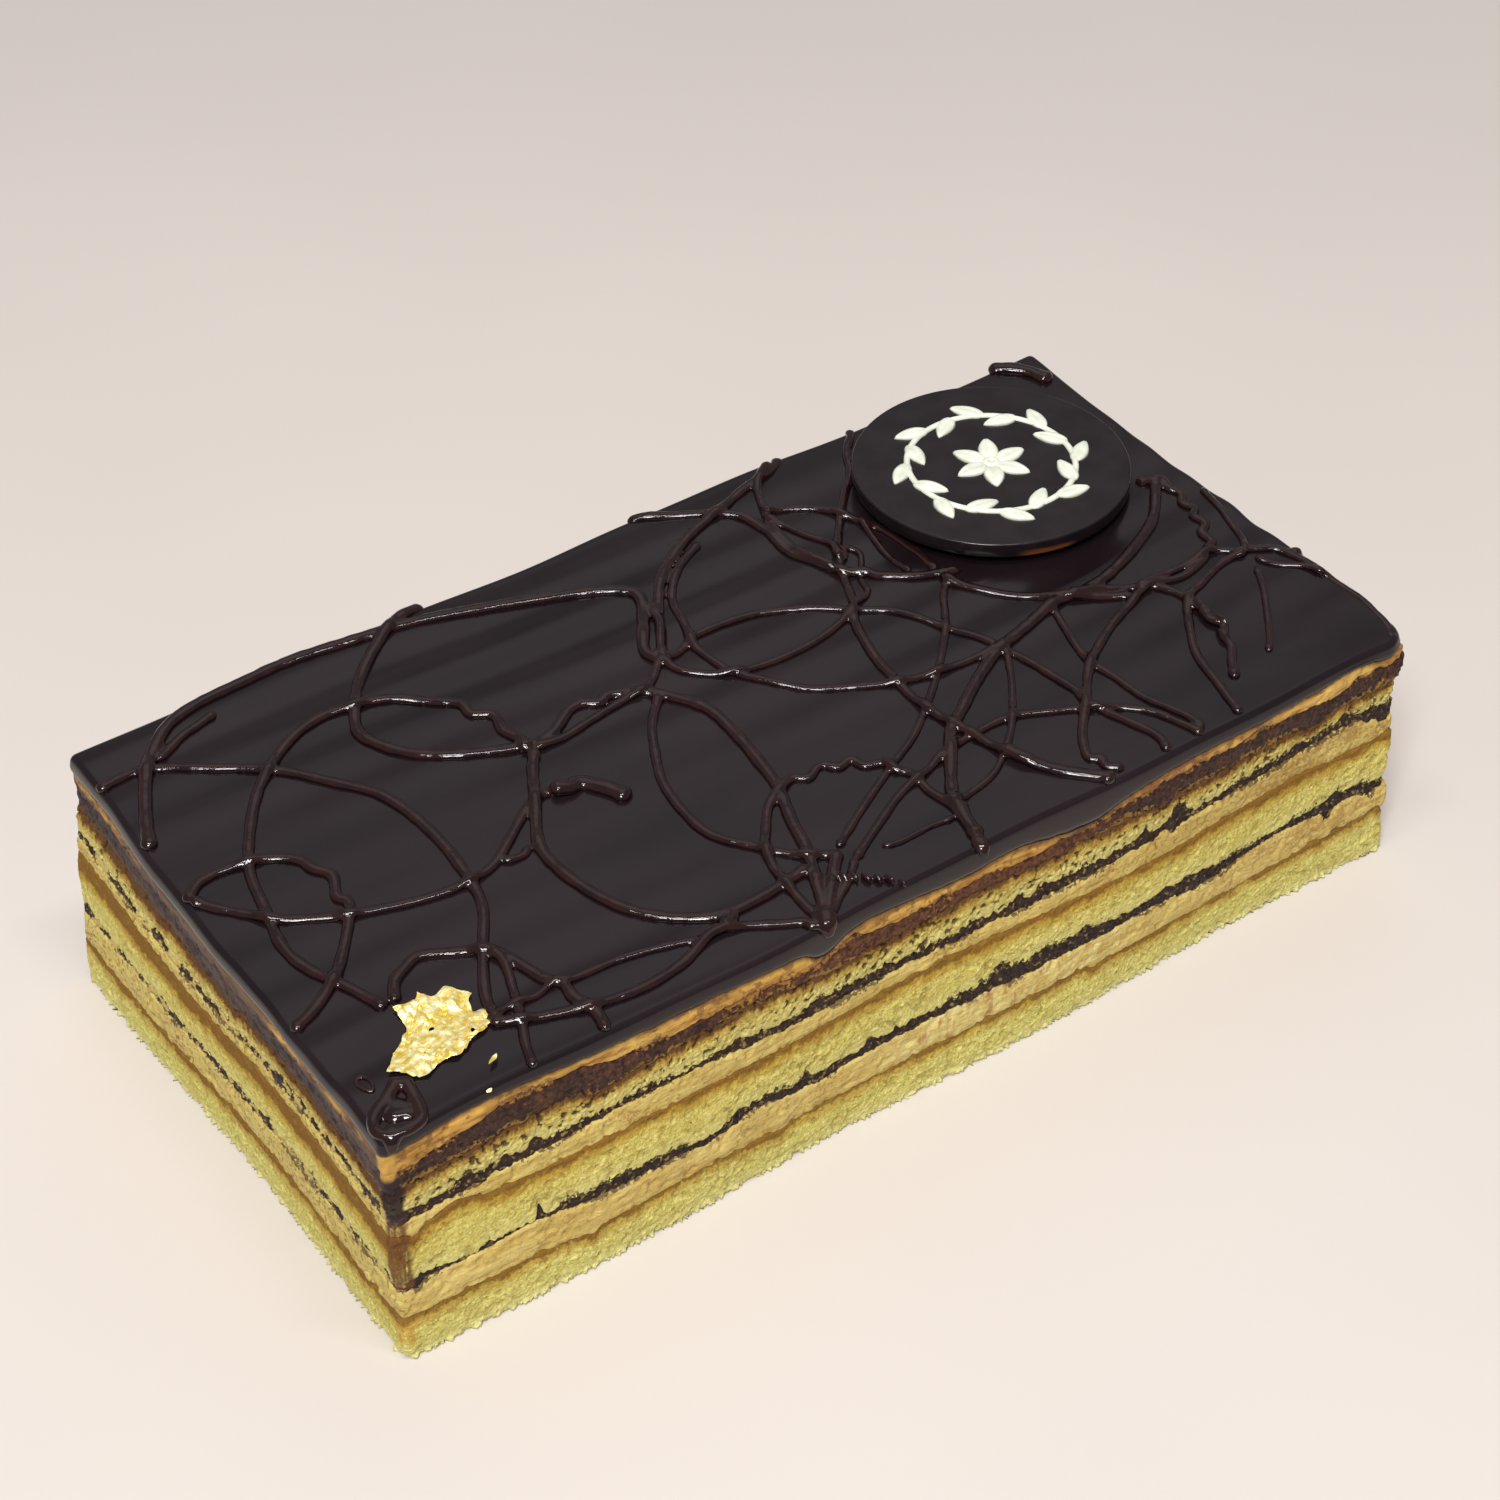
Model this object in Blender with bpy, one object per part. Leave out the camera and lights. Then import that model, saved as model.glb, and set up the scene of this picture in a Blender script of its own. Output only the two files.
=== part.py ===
"""Opera cake: a long rectangular cake of three sponge sheets with cream and ganache between them.

Sizes are in millimetres up here and become metres when the meshes are made.
+X runs along the cake, +Y to its back, +Z up, and the origin is under its middle.
"""
import math
from collections import namedtuple

import bpy
from mathutils import Matrix, Vector

MM = 0.001
GAP = 0.3                      # clearance kept between touching pieces

LENGTH = 200.0
WIDTH = 103.0
HEIGHT = 50.0                  # table to the top of the glaze
HALF_LENGTH = LENGTH / 2
HALF_WIDTH = WIDTH / 2

CELLS_LONG = 14                # grid cells of a layer, without the two at its rims
CELLS_WIDE = 7
RIM = 2.5                      # width of the grid's outermost cells
CORNER_CUT = 0.9               # how far the upright corners are rounded in

WAVE_PITCH_X = 62.0            # gentle unevenness of every layer
WAVE_PITCH_Y = 74.0
CUT_PITCH = 85.0               # waviness left by the knife on the cut sides
CUT_DEPTH = 0.45

LEFT_BULGE = 1.8               # the lower layers lean out at the back of the left end
LEFT_BULGE_TOP = 40.0          # no bulge above this height
RIGHT_TOE = 2.8                # the bottom sponge's corner sticks out at the right end
TOE_HEIGHT = 13.0
TOE_REACH = 22.0               # how far the toe runs along the right end

GLAZE_THICKNESS = 2.4          # on top, away from the sides
GLAZE_EDGE_DROP = 0.9          # rounding of the glaze's upper edge

PLAQUE_RADIUS = 25.0
PLAQUE_THICKNESS = 2.9
PLAQUE_BEVEL = 0.35
PLAQUE_X = 68.6
PLAQUE_Y = 23.7
PLAQUE_LIFT = 1.0              # under its middle: it leans on the lines of chocolate
PLAQUE_TILT = math.radians(1.3)
PLAQUE_TILT_AXIS = Vector((-0.77, 0.64, 0.0)).normalized()

WREATH_RADIUS = 15.2           # middle line of the ring of leaves
WREATH_WIDTH = 4.4
WREATH_LEAVES = 14
BLOSSOM_RADIUS = 6.6
BLOSSOM_PETALS = 6
RELIEF_THICKNESS = 0.9

LEAF_X = -83.0                 # crumpled gold leaf near the front left corner
LEAF_Y = -38.0
LEAF_RADIUS = 8.2
LEAF_THICKNESS = 0.45
LEAF_CRUMPLE = 0.9

# One layer of the cake, bottom to top. top is the height of its upper face at mid length,
# bow how much that face climbs towards both ends, tilt how much it climbs to the right,
# wave its unevenness, proud how far the layer stands out at the sides, rows its bands of
# side faces and belly how far the middle band swells.
Layer = namedtuple("Layer", "name top bow tilt wave proud rows belly colour roughness")

SPONGE = (0.62, 0.53, 0.155)
CREAM = (0.58, 0.43, 0.16)
TOP_CREAM = (0.51, 0.30, 0.065)
GANACHE = (0.045, 0.022, 0.016)
DARK_BAND = (0.08, 0.034, 0.023)

LAYERS = (
    Layer("sponge_bottom", 9.6, 0.9, 0.5, 0.25, 0.7, 3, 0.3, SPONGE, 0.9),
    Layer("cream_lower", 15.6, 0.8, 0.3, 0.45, 0.0, 2, 0.2, CREAM, 0.55),
    Layer("ganache_lower", 17.7, 0.8, 0.5, 0.5, -0.2, 1, 0.0, GANACHE, 0.5),
    Layer("sponge_middle", 28.0, 1.0, 0.9, 0.3, 0.1, 3, 0.3, SPONGE, 0.9),
    Layer("cream_middle", 31.2, 1.6, 1.6, 0.35, 0.0, 1, 0.0, CREAM, 0.55),
    Layer("ganache_middle", 33.1, 1.6, 1.5, 0.4, -0.2, 1, 0.0, GANACHE, 0.5),
    Layer("sponge_top", 40.0, -0.2, 0.7, 0.4, -0.2, 2, 0.3, SPONGE, 0.9),
    Layer("ganache_top", 42.6, 0.7, 0.2, 0.45, 0.0, 1, 0.0, DARK_BAND, 0.5),
    Layer("cream_top", 45.0, 1.9, 0.4, 0.45, 0.0, 1, 0.0, TOP_CREAM, 0.5),
)


def smoothstep(low, high, value):
    """0 below low, 1 above high and a smooth curve between; low may be above high."""
    t = min(max((value - low) / (high - low), 0.0), 1.0)
    return t * t * (3.0 - 2.0 * t)


def clear_scene():
    for old in list(bpy.data.objects):
        bpy.data.objects.remove(old, do_unlink=True)


def material(name, colour, roughness, metallic=0.0):
    made = bpy.data.materials.new(name)
    made.use_nodes = True
    shader = made.node_tree.nodes["Principled BSDF"]
    shader.inputs["Base Color"].default_value = (*colour, 1.0)
    shader.inputs["Roughness"].default_value = roughness
    shader.inputs["Metallic"].default_value = metallic
    return made


def add_object(name, points, faces, finish):
    """A mesh object from points in millimetres."""
    mesh = bpy.data.meshes.new(name)
    mesh.from_pydata([tuple(c * MM for c in point) for point in points], [], faces)
    mesh.validate()
    mesh.shade_smooth()
    mesh.set_sharp_from_angle(angle=math.radians(40))
    made = bpy.data.objects.new(name, mesh)
    made.data.materials.append(finish)
    bpy.context.scene.collection.objects.link(made)
    return made


# ------------------------------------------------------------------ the cake's outline

def grid_lines(cells, half_size):
    """Positions from -1 to 1: a narrow cell at each rim and even cells between."""
    inner = 1.0 - RIM / half_size
    even = [-inner + 2.0 * inner * i / cells for i in range(cells + 1)]
    return [-1.0, *even, 1.0]


def end_push(side, y, z):
    """How far the left (-1) or right (1) end stands out at this place."""
    wave = CUT_DEPTH * math.sin(2 * math.pi * y / CUT_PITCH + 1.3 * side + z / 19.0)
    if side < 0:
        along = smoothstep(-30.0, 12.0, y)
        down = smoothstep(LEFT_BULGE_TOP, LEFT_BULGE_TOP - 14.0, z)
        return wave + LEFT_BULGE * along * down
    toe = smoothstep(-HALF_WIDTH + TOE_REACH, -HALF_WIDTH, y) * smoothstep(TOE_HEIGHT, 2.0, z)
    return wave + RIGHT_TOE * toe


def side_push(side, x, z):
    """How far the front (-1) or back (1) side stands out at this place."""
    return CUT_DEPTH * math.sin(2 * math.pi * x / CUT_PITCH + 0.8 + 0.9 * side - z / 23.0)


def outline_point(u, v, z, proud):
    """Place of grid position (u, v), both -1 to 1, in a layer that stands out by proud."""
    x = u * HALF_LENGTH
    y = v * HALF_WIDTH
    x += u * (proud + end_push(math.copysign(1.0, u), y, z))
    y += v * (proud + side_push(math.copysign(1.0, v), u * HALF_LENGTH, z))
    if abs(u) == 1.0 and abs(v) == 1.0:
        x -= math.copysign(CORNER_CUT, u)
        y -= math.copysign(CORNER_CUT, v)
    return x, y


def layer_top(index, u, v):
    """Height of a layer's upper face at grid position (u, v)."""
    layer = LAYERS[index]
    x = u * HALF_LENGTH
    y = v * HALF_WIDTH
    turn = 1.7 * index
    wave = math.sin(2 * math.pi * x / WAVE_PITCH_X + turn)
    wave *= math.cos(2 * math.pi * y / WAVE_PITCH_Y + 0.6 * turn)
    edge = layer.top + layer.bow * u * u + layer.tilt * u + layer.wave * wave
    if index < len(LAYERS) - 1:
        return edge
    inside = HEIGHT - GLAZE_THICKNESS + 0.15 * wave
    return edge if max(abs(u), abs(v)) == 1.0 else inside


def glaze_top(u, v):
    """Height of the glaze: nearly level, rounded off at its rims, with a faint swell."""
    swell = 0.12 * math.sin(9.0 * v + 2.0 * u) * math.cos(3.0 * u)
    drop = GLAZE_EDGE_DROP if max(abs(u), abs(v)) == 1.0 else 0.0
    return HEIGHT - 0.15 + swell * (drop == 0.0) - drop


# ------------------------------------------------------------------ layers

def slab(name, floor, roof, proud, rows, belly, finish):
    """A closed layer between two heights, given as functions of grid position."""
    us = grid_lines(CELLS_LONG, HALF_LENGTH)
    vs = grid_lines(CELLS_WIDE, HALF_WIDTH)
    wide = len(vs)
    points = []
    for height in (floor, roof):
        for u in us:
            for v in vs:
                z = height(u, v)
                points.append((*outline_point(u, v, z, proud), z))

    roof_start = len(us) * wide
    faces = []
    for i in range(len(us) - 1):
        for j in range(wide - 1):
            a = i * wide + j
            b = a + wide
            faces.append((a, a + 1, b + 1, b))
            faces.append(tuple(roof_start + k for k in (a, b, b + 1, a + 1)))

    # The rim, counterclockwise from above, and its bands of side faces.
    last_u, last_v = len(us) - 1, wide - 1
    rim = [(i, 0) for i in range(last_u)]
    rim += [(last_u, j) for j in range(last_v)]
    rim += [(i, last_v) for i in range(last_u, 0, -1)]
    rim += [(0, j) for j in range(last_v, 0, -1)]
    bands = [[i * wide + j for i, j in rim]]
    for row in range(1, rows):
        t = row / rows
        band = []
        for i, j in rim:
            u, v = us[i], vs[j]
            z = floor(u, v) * (1 - t) + roof(u, v) * t
            swell = belly * math.sin(math.pi * t)
            band.append(len(points))
            points.append((*outline_point(u, v, z, proud + swell), z))
        bands.append(band)
    bands.append([roof_start + k for k in bands[0]])
    count = len(rim)
    for lower, upper in zip(bands, bands[1:]):
        for k in range(count):
            n = (k + 1) % count
            faces.append((lower[k], lower[n], upper[n], upper[k]))
    return add_object(name, points, faces, finish)


def build_layers():
    for index, layer in enumerate(LAYERS):
        def floor(u, v, index=index):
            return layer_top(index - 1, u, v) + GAP / 2 if index else 0.0

        def roof(u, v, index=index):
            return layer_top(index, u, v) - GAP / 2

        finish = material(layer.name, layer.colour, layer.roughness)
        slab(layer.name, floor, roof, layer.proud, layer.rows, layer.belly, finish)


def build_glaze():
    def floor(u, v):
        return layer_top(len(LAYERS) - 1, u, v) + GAP / 2

    finish = material("glaze", (0.028, 0.022, 0.024), 0.3)
    slab("glaze", floor, glaze_top, 0.2, 3, 0.45, finish)


# ------------------------------------------------------------------ plaque

def plaque_frame():
    """Place of the plaque: leaning on the drizzle, its underside's middle at the origin."""
    place = Vector((PLAQUE_X, PLAQUE_Y, HEIGHT + PLAQUE_LIFT)) * MM
    return Matrix.Translation(place) @ Matrix.Rotation(PLAQUE_TILT, 4, PLAQUE_TILT_AXIS)


def loop_stack(name, loops, finish):
    """A closed solid from equal loops stacked bottom to top, its ends capped by a fan."""
    count = len(loops[0])
    points = [point for loop in loops for point in loop]
    faces = []
    for level in range(len(loops) - 1):
        for k in range(count):
            a = level * count + k
            b = level * count + (k + 1) % count
            faces.append((a, b, b + count, a + count))
    for level, flip in ((0, True), (len(loops) - 1, False)):
        centre = len(points)
        points.append((0.0, 0.0, loops[level][0][2]))
        for k in range(count):
            a = level * count + k
            b = level * count + (k + 1) % count
            faces.append((b, a, centre) if flip else (a, b, centre))
    return add_object(name, points, faces, finish)


def circle(radius, z, count):
    turns = (2 * math.pi * k / count for k in range(count))
    return [(radius * math.cos(t), radius * math.sin(t), z) for t in turns]


def build_plaque():
    inset = PLAQUE_RADIUS - PLAQUE_BEVEL
    profile = (
        (inset, 0.0),
        (PLAQUE_RADIUS, PLAQUE_BEVEL),
        (PLAQUE_RADIUS, PLAQUE_THICKNESS - PLAQUE_BEVEL),
        (inset, PLAQUE_THICKNESS),
    )
    loops = [circle(radius, z, 60) for radius, z in profile]
    plaque = loop_stack("plaque", loops, material("plaque", (0.035, 0.029, 0.031), 0.38))
    plaque.matrix_world = plaque_frame()


def build_wreath(finish):
    """A flat ring whose rims are scalloped into leaves, on the plaque."""
    per_leaf = 6
    count = WREATH_LEAVES * per_leaf
    low = PLAQUE_THICKNESS + GAP
    high = low + RELIEF_THICKNESS
    points = []
    for z in (low, high):
        for half in (-0.5, 0.5):
            for k in range(count):
                turn = 2 * math.pi * k / count
                leaf = abs(math.sin(WREATH_LEAVES * turn / 2 + (0.5 if half > 0 else -0.3)))
                radius = WREATH_RADIUS + half * WREATH_WIDTH * (0.45 + 0.75 * leaf)
                points.append((radius * math.cos(turn), radius * math.sin(turn), z))
    inner_low, outer_low, inner_high, outer_high = (count * n for n in range(4))
    faces = []
    for k in range(count):
        n = (k + 1) % count
        faces.append((outer_low + k, outer_low + n, outer_high + n, outer_high + k))
        faces.append((inner_low + n, inner_low + k, inner_high + k, inner_high + n))
        faces.append((inner_high + k, outer_high + k, outer_high + n, inner_high + n))
        faces.append((outer_low + k, inner_low + k, inner_low + n, outer_low + n))
    add_object("plaque_wreath", points, faces, finish).matrix_world = plaque_frame()


def build_blossom(finish):
    """A plain flower in the middle of the wreath."""
    per_petal = 8
    count = BLOSSOM_PETALS * per_petal
    low = PLAQUE_THICKNESS + GAP

    def petals(scale, z):
        loop = []
        for k in range(count):
            turn = 2 * math.pi * k / count
            petal = abs(math.sin(BLOSSOM_PETALS * turn / 2)) ** 0.7
            radius = scale * BLOSSOM_RADIUS * (0.4 + 0.6 * petal)
            loop.append((radius * math.cos(turn), radius * math.sin(turn), z))
        return loop

    loops = [petals(1.0, low), petals(1.0, low + 0.6 * RELIEF_THICKNESS),
             petals(0.88, low + RELIEF_THICKNESS)]
    loop_stack("plaque_blossom", loops, finish).matrix_world = plaque_frame()


# ------------------------------------------------------------------ gold leaf

def build_gold_leaf():
    """A crumpled scrap of gold leaf: a ragged sheet with ridges, thick enough to be a solid."""
    spokes = 26
    rings = 4

    def sheet_point(ring, spoke, lift):
        turn = 2 * math.pi * spoke / spokes
        ragged = 1.0 + 0.17 * math.sin(3 * turn + 0.7) + 0.1 * math.sin(7 * turn + 2.0)
        reach = LEAF_RADIUS * ragged * ring / rings
        x = reach * math.cos(turn) * 1.08
        y = reach * math.sin(turn) * 0.86
        ridge = math.sin(0.9 * x + 0.5 * y) * math.cos(0.7 * y - 0.35 * x)
        z = HEIGHT + GAP + LEAF_CRUMPLE * (1.0 + ridge) * (0.5 + 0.5 * ring / rings) + lift
        return LEAF_X + x, LEAF_Y + y, z

    points = []
    for lift in (0.0, LEAF_THICKNESS):
        points.append(sheet_point(0, 0, lift))
        for ring in range(1, rings + 1):
            points += [sheet_point(ring, spoke, lift) for spoke in range(spokes)]

    sheet = 1 + rings * spokes
    faces = []
    for spoke in range(spokes):
        after = (spoke + 1) % spokes
        faces.append((0, 1 + after, 1 + spoke))
        faces.append((sheet, sheet + 1 + spoke, sheet + 1 + after))
        for ring in range(rings - 1):
            a = 1 + ring * spokes + spoke
            b = 1 + ring * spokes + after
            c = b + spokes
            d = a + spokes
            faces.append((a, b, c, d))
            faces.append((sheet + a, sheet + d, sheet + c, sheet + b))
        a = 1 + (rings - 1) * spokes + spoke
        b = 1 + (rings - 1) * spokes + after
        faces.append((a, b, sheet + b, sheet + a))
    add_object("gold_leaf", points, faces, material("gold_leaf", (0.86, 0.64, 0.16), 0.3, 1.0))


def main():
    clear_scene()
    build_layers()
    build_glaze()
    build_plaque()
    relief = material("plaque_relief", (0.69, 0.71, 0.60), 0.6)
    build_wreath(relief)
    build_blossom(relief)
    build_gold_leaf()


main()
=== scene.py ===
"""Looks of the opera cake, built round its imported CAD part.

Lengths are named in millimetres here and become metres where a mesh is made. The cake lies
along X with its front towards -Y and its base on the floor. Its nine layers are walls that a
Geometry Nodes tree sweeps round the rim; the drizzle is another tree's ropes of chocolate.
"""
import math
from collections import namedtuple

import bmesh
import bpy
import numpy as np
from mathutils import Matrix, Vector, geometry, noise


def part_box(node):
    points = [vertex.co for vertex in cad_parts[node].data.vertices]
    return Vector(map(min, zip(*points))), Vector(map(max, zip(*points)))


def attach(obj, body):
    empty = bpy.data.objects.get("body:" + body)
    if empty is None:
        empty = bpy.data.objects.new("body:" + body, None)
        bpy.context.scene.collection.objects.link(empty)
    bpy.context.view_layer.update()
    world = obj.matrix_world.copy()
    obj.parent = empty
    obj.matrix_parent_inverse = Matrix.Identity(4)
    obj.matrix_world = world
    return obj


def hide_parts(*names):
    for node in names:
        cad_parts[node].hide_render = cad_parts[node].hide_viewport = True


MM = 0.001
DRESSED = "_dressed"           # ends the name of the piece that a CAD node is shown by

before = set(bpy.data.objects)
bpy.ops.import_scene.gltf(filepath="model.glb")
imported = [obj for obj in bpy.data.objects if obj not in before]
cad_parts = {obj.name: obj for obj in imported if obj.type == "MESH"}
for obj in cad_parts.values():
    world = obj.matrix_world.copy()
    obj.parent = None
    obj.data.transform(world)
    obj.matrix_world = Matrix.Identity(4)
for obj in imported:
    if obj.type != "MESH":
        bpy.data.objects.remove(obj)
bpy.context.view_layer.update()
scene = bpy.context.scene


def box_mm(node):
    """Lowest and highest corner of a CAD node, in millimetres."""
    low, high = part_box(node)
    return np.array(low) / MM, np.array(high) / MM


# ------------------------------------------------------------------ sizes, in millimetres

HALF_LENGTH = 100.0            # the straight cake, before its layers lean out
HALF_WIDTH = 51.5
CORNER_RADIUS = 1.0
PERIMETER = 4 * (HALF_LENGTH + HALF_WIDTH)
RIM_STEP = 0.25                # spacing of the points that the layers' walls follow

CUT_PITCH = 85.0               # waviness left by the knife on the cut sides
CUT_DEPTH = 0.45
LEFT_LEAN = (-1.1, 3.0)        # how far the left end's lower layers stand out, front and back
LEAN_LEFT_AT = ((6.0, 1.0), (17.0, 0.75), (33.0, 0.5), (41.0, 0.0))  # its share by height
RIGHT_TOE = 1.3                # the bottom sponge's corner sticks out at the right end
TOE_HEIGHT = 9.0
TOE_REACH = 22.0

GLAZE_TOP = box_mm("glaze")[1][2]
GLAZE_UNDER = GLAZE_TOP - 2.5  # underside, away from the rim
GLAZE_CELL = 0.6
GLAZE_ROUNDING = 1.3
RIPPLE_PITCH = 11.0            # palette-knife waves along the cake
RIPPLE_HEIGHT = 0.22
GLAZE_CORNERS = (1.4, 5.0)     # radii, seen from above: three of them and the right front one
CORNER_SINK = 0.7              # how much lower the right front corner lies


# ------------------------------------------------------------------ small helpers

def smooth(low, high, value):
    """0 below low, 1 above high and a smooth curve between; low may be above high."""
    t = np.clip((value - low) / (high - low), 0.0, 1.0)
    return t * t * (3.0 - 2.0 * t)


def paint(red, green, blue):
    """A colour given as 0 to 255 on a screen, as the linear colour that a shader takes."""
    def linear(part):
        part /= 255.0
        return part / 12.92 if part <= 0.04045 else ((part + 0.055) / 1.055) ** 2.4
    return linear(red), linear(green), linear(blue), 1.0


def add_object(name, mesh):
    made = bpy.data.objects.new(name, mesh)
    scene.collection.objects.link(made)
    return made


def mesh_from(name, points, faces=(), edges=()):
    """A mesh from an array of points in millimetres."""
    mesh = bpy.data.meshes.new(name)
    mesh.from_pydata((np.asarray(points, float) * MM).tolist(), edges, faces)
    mesh.update()
    return mesh


def store(mesh, name, kind, values):
    """Give every point of a mesh its value of a named attribute."""
    layer = mesh.attributes.new(name, kind, "POINT")
    key = "vector" if kind == "FLOAT_VECTOR" else "value"
    layer.data.foreach_set(key, np.asarray(values, np.float32).ravel())


def through_knots(knots, x):
    """A smooth curve through knots of (place, value), read at any places."""
    at, value = np.array(knots, float).T
    slope = np.gradient(value, at)
    low = np.clip(np.searchsorted(at, x) - 1, 0, len(at) - 2)
    gap = at[low + 1] - at[low]
    t = (x - at[low]) / gap
    rest = 1.0 - t
    return (value[low] * rest * rest * (1 + 2 * t) + value[low + 1] * t * t * (1 + 2 * rest)
            + gap * t * rest * (slope[low] * rest - slope[low + 1] * t))


def round_noise(count, pitch, rng):
    """Smooth random heights, -1 to 1, for points round a closed loop of that many steps."""
    knots = max(4, int(round(count / pitch)))
    heights = rng.uniform(-1.0, 1.0, knots)
    at = np.arange(count) * knots / count
    low = at.astype(int) % knots
    t = at - np.floor(at)
    t = t * t * (3.0 - 2.0 * t)
    return heights[low] * (1.0 - t) + heights[(low + 1) % knots] * t


# ------------------------------------------------------------------ node trees

class Wire:
    """An output socket that takes part in sums: each sum adds a Math node to its tree."""

    def __init__(self, tree, socket):
        self.tree = tree
        self.socket = socket

    def math(self, operation, *others):
        return node(self.tree, "ShaderNodeMath", [self, *others], operation=operation)

    def __add__(self, other):
        return self.math("ADD", other)

    def __sub__(self, other):
        return self.math("SUBTRACT", other)

    def __mul__(self, other):
        return self.math("MULTIPLY", other)

    def __neg__(self):
        return self.math("MULTIPLY", -1.0)

    __radd__ = __add__
    __rmul__ = __mul__

    def __rsub__(self, other):
        return (-self).math("ADD", other)

    def ramp(self, low, high, start=0.0, end=1.0):
        """From start to end as this goes from low to high, smoothly, and level outside."""
        return node(self.tree, "ShaderNodeMapRange", [self, low, high, start, end],
                    interpolation_type="SMOOTHSTEP")

    def vector(self, operation, other, output=0):
        return node(self.tree, "ShaderNodeVectorMath", [self, other], output,
                    operation=operation)

    def scaled(self, factor):
        """This vector times a number."""
        return node(self.tree, "ShaderNodeVectorMath", {0: self, 3: factor}, operation="SCALE")


def plug(tree, value, socket):
    if isinstance(value, Wire):
        tree.links.new(value.socket, socket)
    else:
        socket.default_value = value


def node(tree, kind, inputs=(), output=0, **settings):
    """Add a node and return one output; inputs is a list in socket order, or a dict by name."""
    made = tree.nodes.new(kind)
    for setting, value in settings.items():
        setattr(made, setting, value)
    named = inputs.items() if isinstance(inputs, dict) else enumerate(inputs)
    for key, value in named:
        plug(tree, value, made.inputs[key])
    return Wire(tree, made.outputs[output])


def blend(tree, share, first, second):
    """first where share is 0, second where it is 1: two colours or colour wires."""
    made = tree.nodes.new("ShaderNodeMix")
    made.data_type = "RGBA"
    for value, socket in ((share, made.inputs[0]), (first, made.inputs[6]), (second, made.inputs[7])):
        plug(tree, value, socket)
    return Wire(tree, made.outputs[2])


def grain(tree, place, size, detail=2.0, rough=0.5):
    """Even noise from 0 to 1 with lumps of about that size, in millimetres."""
    return node(tree, "ShaderNodeTexNoise",
                {"Vector": place, "Scale": 1.0 / (size * MM), "Detail": detail, "Roughness": rough})


def stretch(tree, place, *factors):
    return place.vector("MULTIPLY", tuple(factors))


class Finish:
    """A procedural material: its tree, its shader and the places that its patterns read."""

    def __init__(self, name, **numbers):
        self.material = bpy.data.materials.new(name)
        self.material.use_nodes = True
        self.tree = self.material.node_tree
        self.shader = self.tree.nodes["Principled BSDF"]
        for label, value in numbers.items():
            self.shader.inputs[label.replace("_", " ")].default_value = value
        self.place = node(self.tree, "ShaderNodeTexCoord", output="Object")
        parts = self.tree.nodes.new("ShaderNodeSeparateXYZ")
        plug(self.tree, self.place, parts.inputs[0])
        self.x, self.y, self.z = (Wire(self.tree, part) * (1.0 / MM) for part in parts.outputs)

    def attribute(self, name):
        return node(self.tree, "ShaderNodeAttribute", output="Fac", attribute_name=name)

    def grain(self, size, detail=2.0, rough=0.5, squash=(1, 1, 1)):
        place = self.place if squash == (1, 1, 1) else stretch(self.tree, self.place, *squash)
        return grain(self.tree, place, size, detail, rough)

    def mix(self, share, first, second):
        return blend(self.tree, share, first, second)

    def colour(self, wire):
        plug(self.tree, wire, self.shader.inputs["Base Color"])

    def roughness(self, wire):
        plug(self.tree, wire, self.shader.inputs["Roughness"])

    def bump(self, height, strength=1.0):
        """Relief from a height in millimetres."""
        made = node(self.tree, "ShaderNodeBump",
                    {"Strength": strength, "Distance": MM, "Height": height})
        plug(self.tree, made, self.shader.inputs["Normal"])


def new_tree(name, inputs):
    """A Geometry Nodes tree with a mesh in and out and named inputs; returns it and them."""
    tree = bpy.data.node_groups.new(name, "GeometryNodeTree")
    tree.interface.new_socket("Geometry", in_out="INPUT", socket_type="NodeSocketGeometry")
    for label, kind in inputs.items():
        tree.interface.new_socket(label, in_out="INPUT", socket_type=f"NodeSocket{kind}")
    tree.interface.new_socket("Geometry", in_out="OUTPUT", socket_type="NodeSocketGeometry")
    entry = tree.nodes.new("NodeGroupInput")
    wires = {socket.name: Wire(tree, socket) for socket in entry.outputs if socket.name}
    return tree, wires


def stored_value(tree, label):
    return node(tree, "GeometryNodeInputNamedAttribute", [label], data_type="FLOAT")


def close_tree(tree, geometry, finish):
    """End a tree: real meshes instead of instances, smooth faces and the finish."""
    real = node(tree, "GeometryNodeRealizeInstances", [geometry])
    even = node(tree, "GeometryNodeSetShadeSmooth", {"Geometry": real})
    done = node(tree, "GeometryNodeSetMaterial", {"Geometry": even, "Material": finish})
    plug(tree, done, tree.nodes.new("NodeGroupOutput").inputs[0])


def grow(name, carrier, tree, values):
    """Run a tree on a carrier mesh and return the plain object that it makes."""
    holder = add_object(name + "_carrier", carrier)
    modifier = holder.modifiers.new(tree.name, "NODES")
    modifier.node_group = tree
    for item in tree.interface.items_tree:
        if item.item_type == "SOCKET" and item.name in values:
            modifier[item.identifier] = values[item.name]
    graph = bpy.context.evaluated_depsgraph_get()
    mesh = bpy.data.meshes.new_from_object(holder.evaluated_get(graph))
    bpy.data.objects.remove(holder)
    bpy.data.meshes.remove(carrier)
    mesh.name = name
    return add_object(name, mesh)


# ------------------------------------------------------------------ the cake's outline

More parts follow.
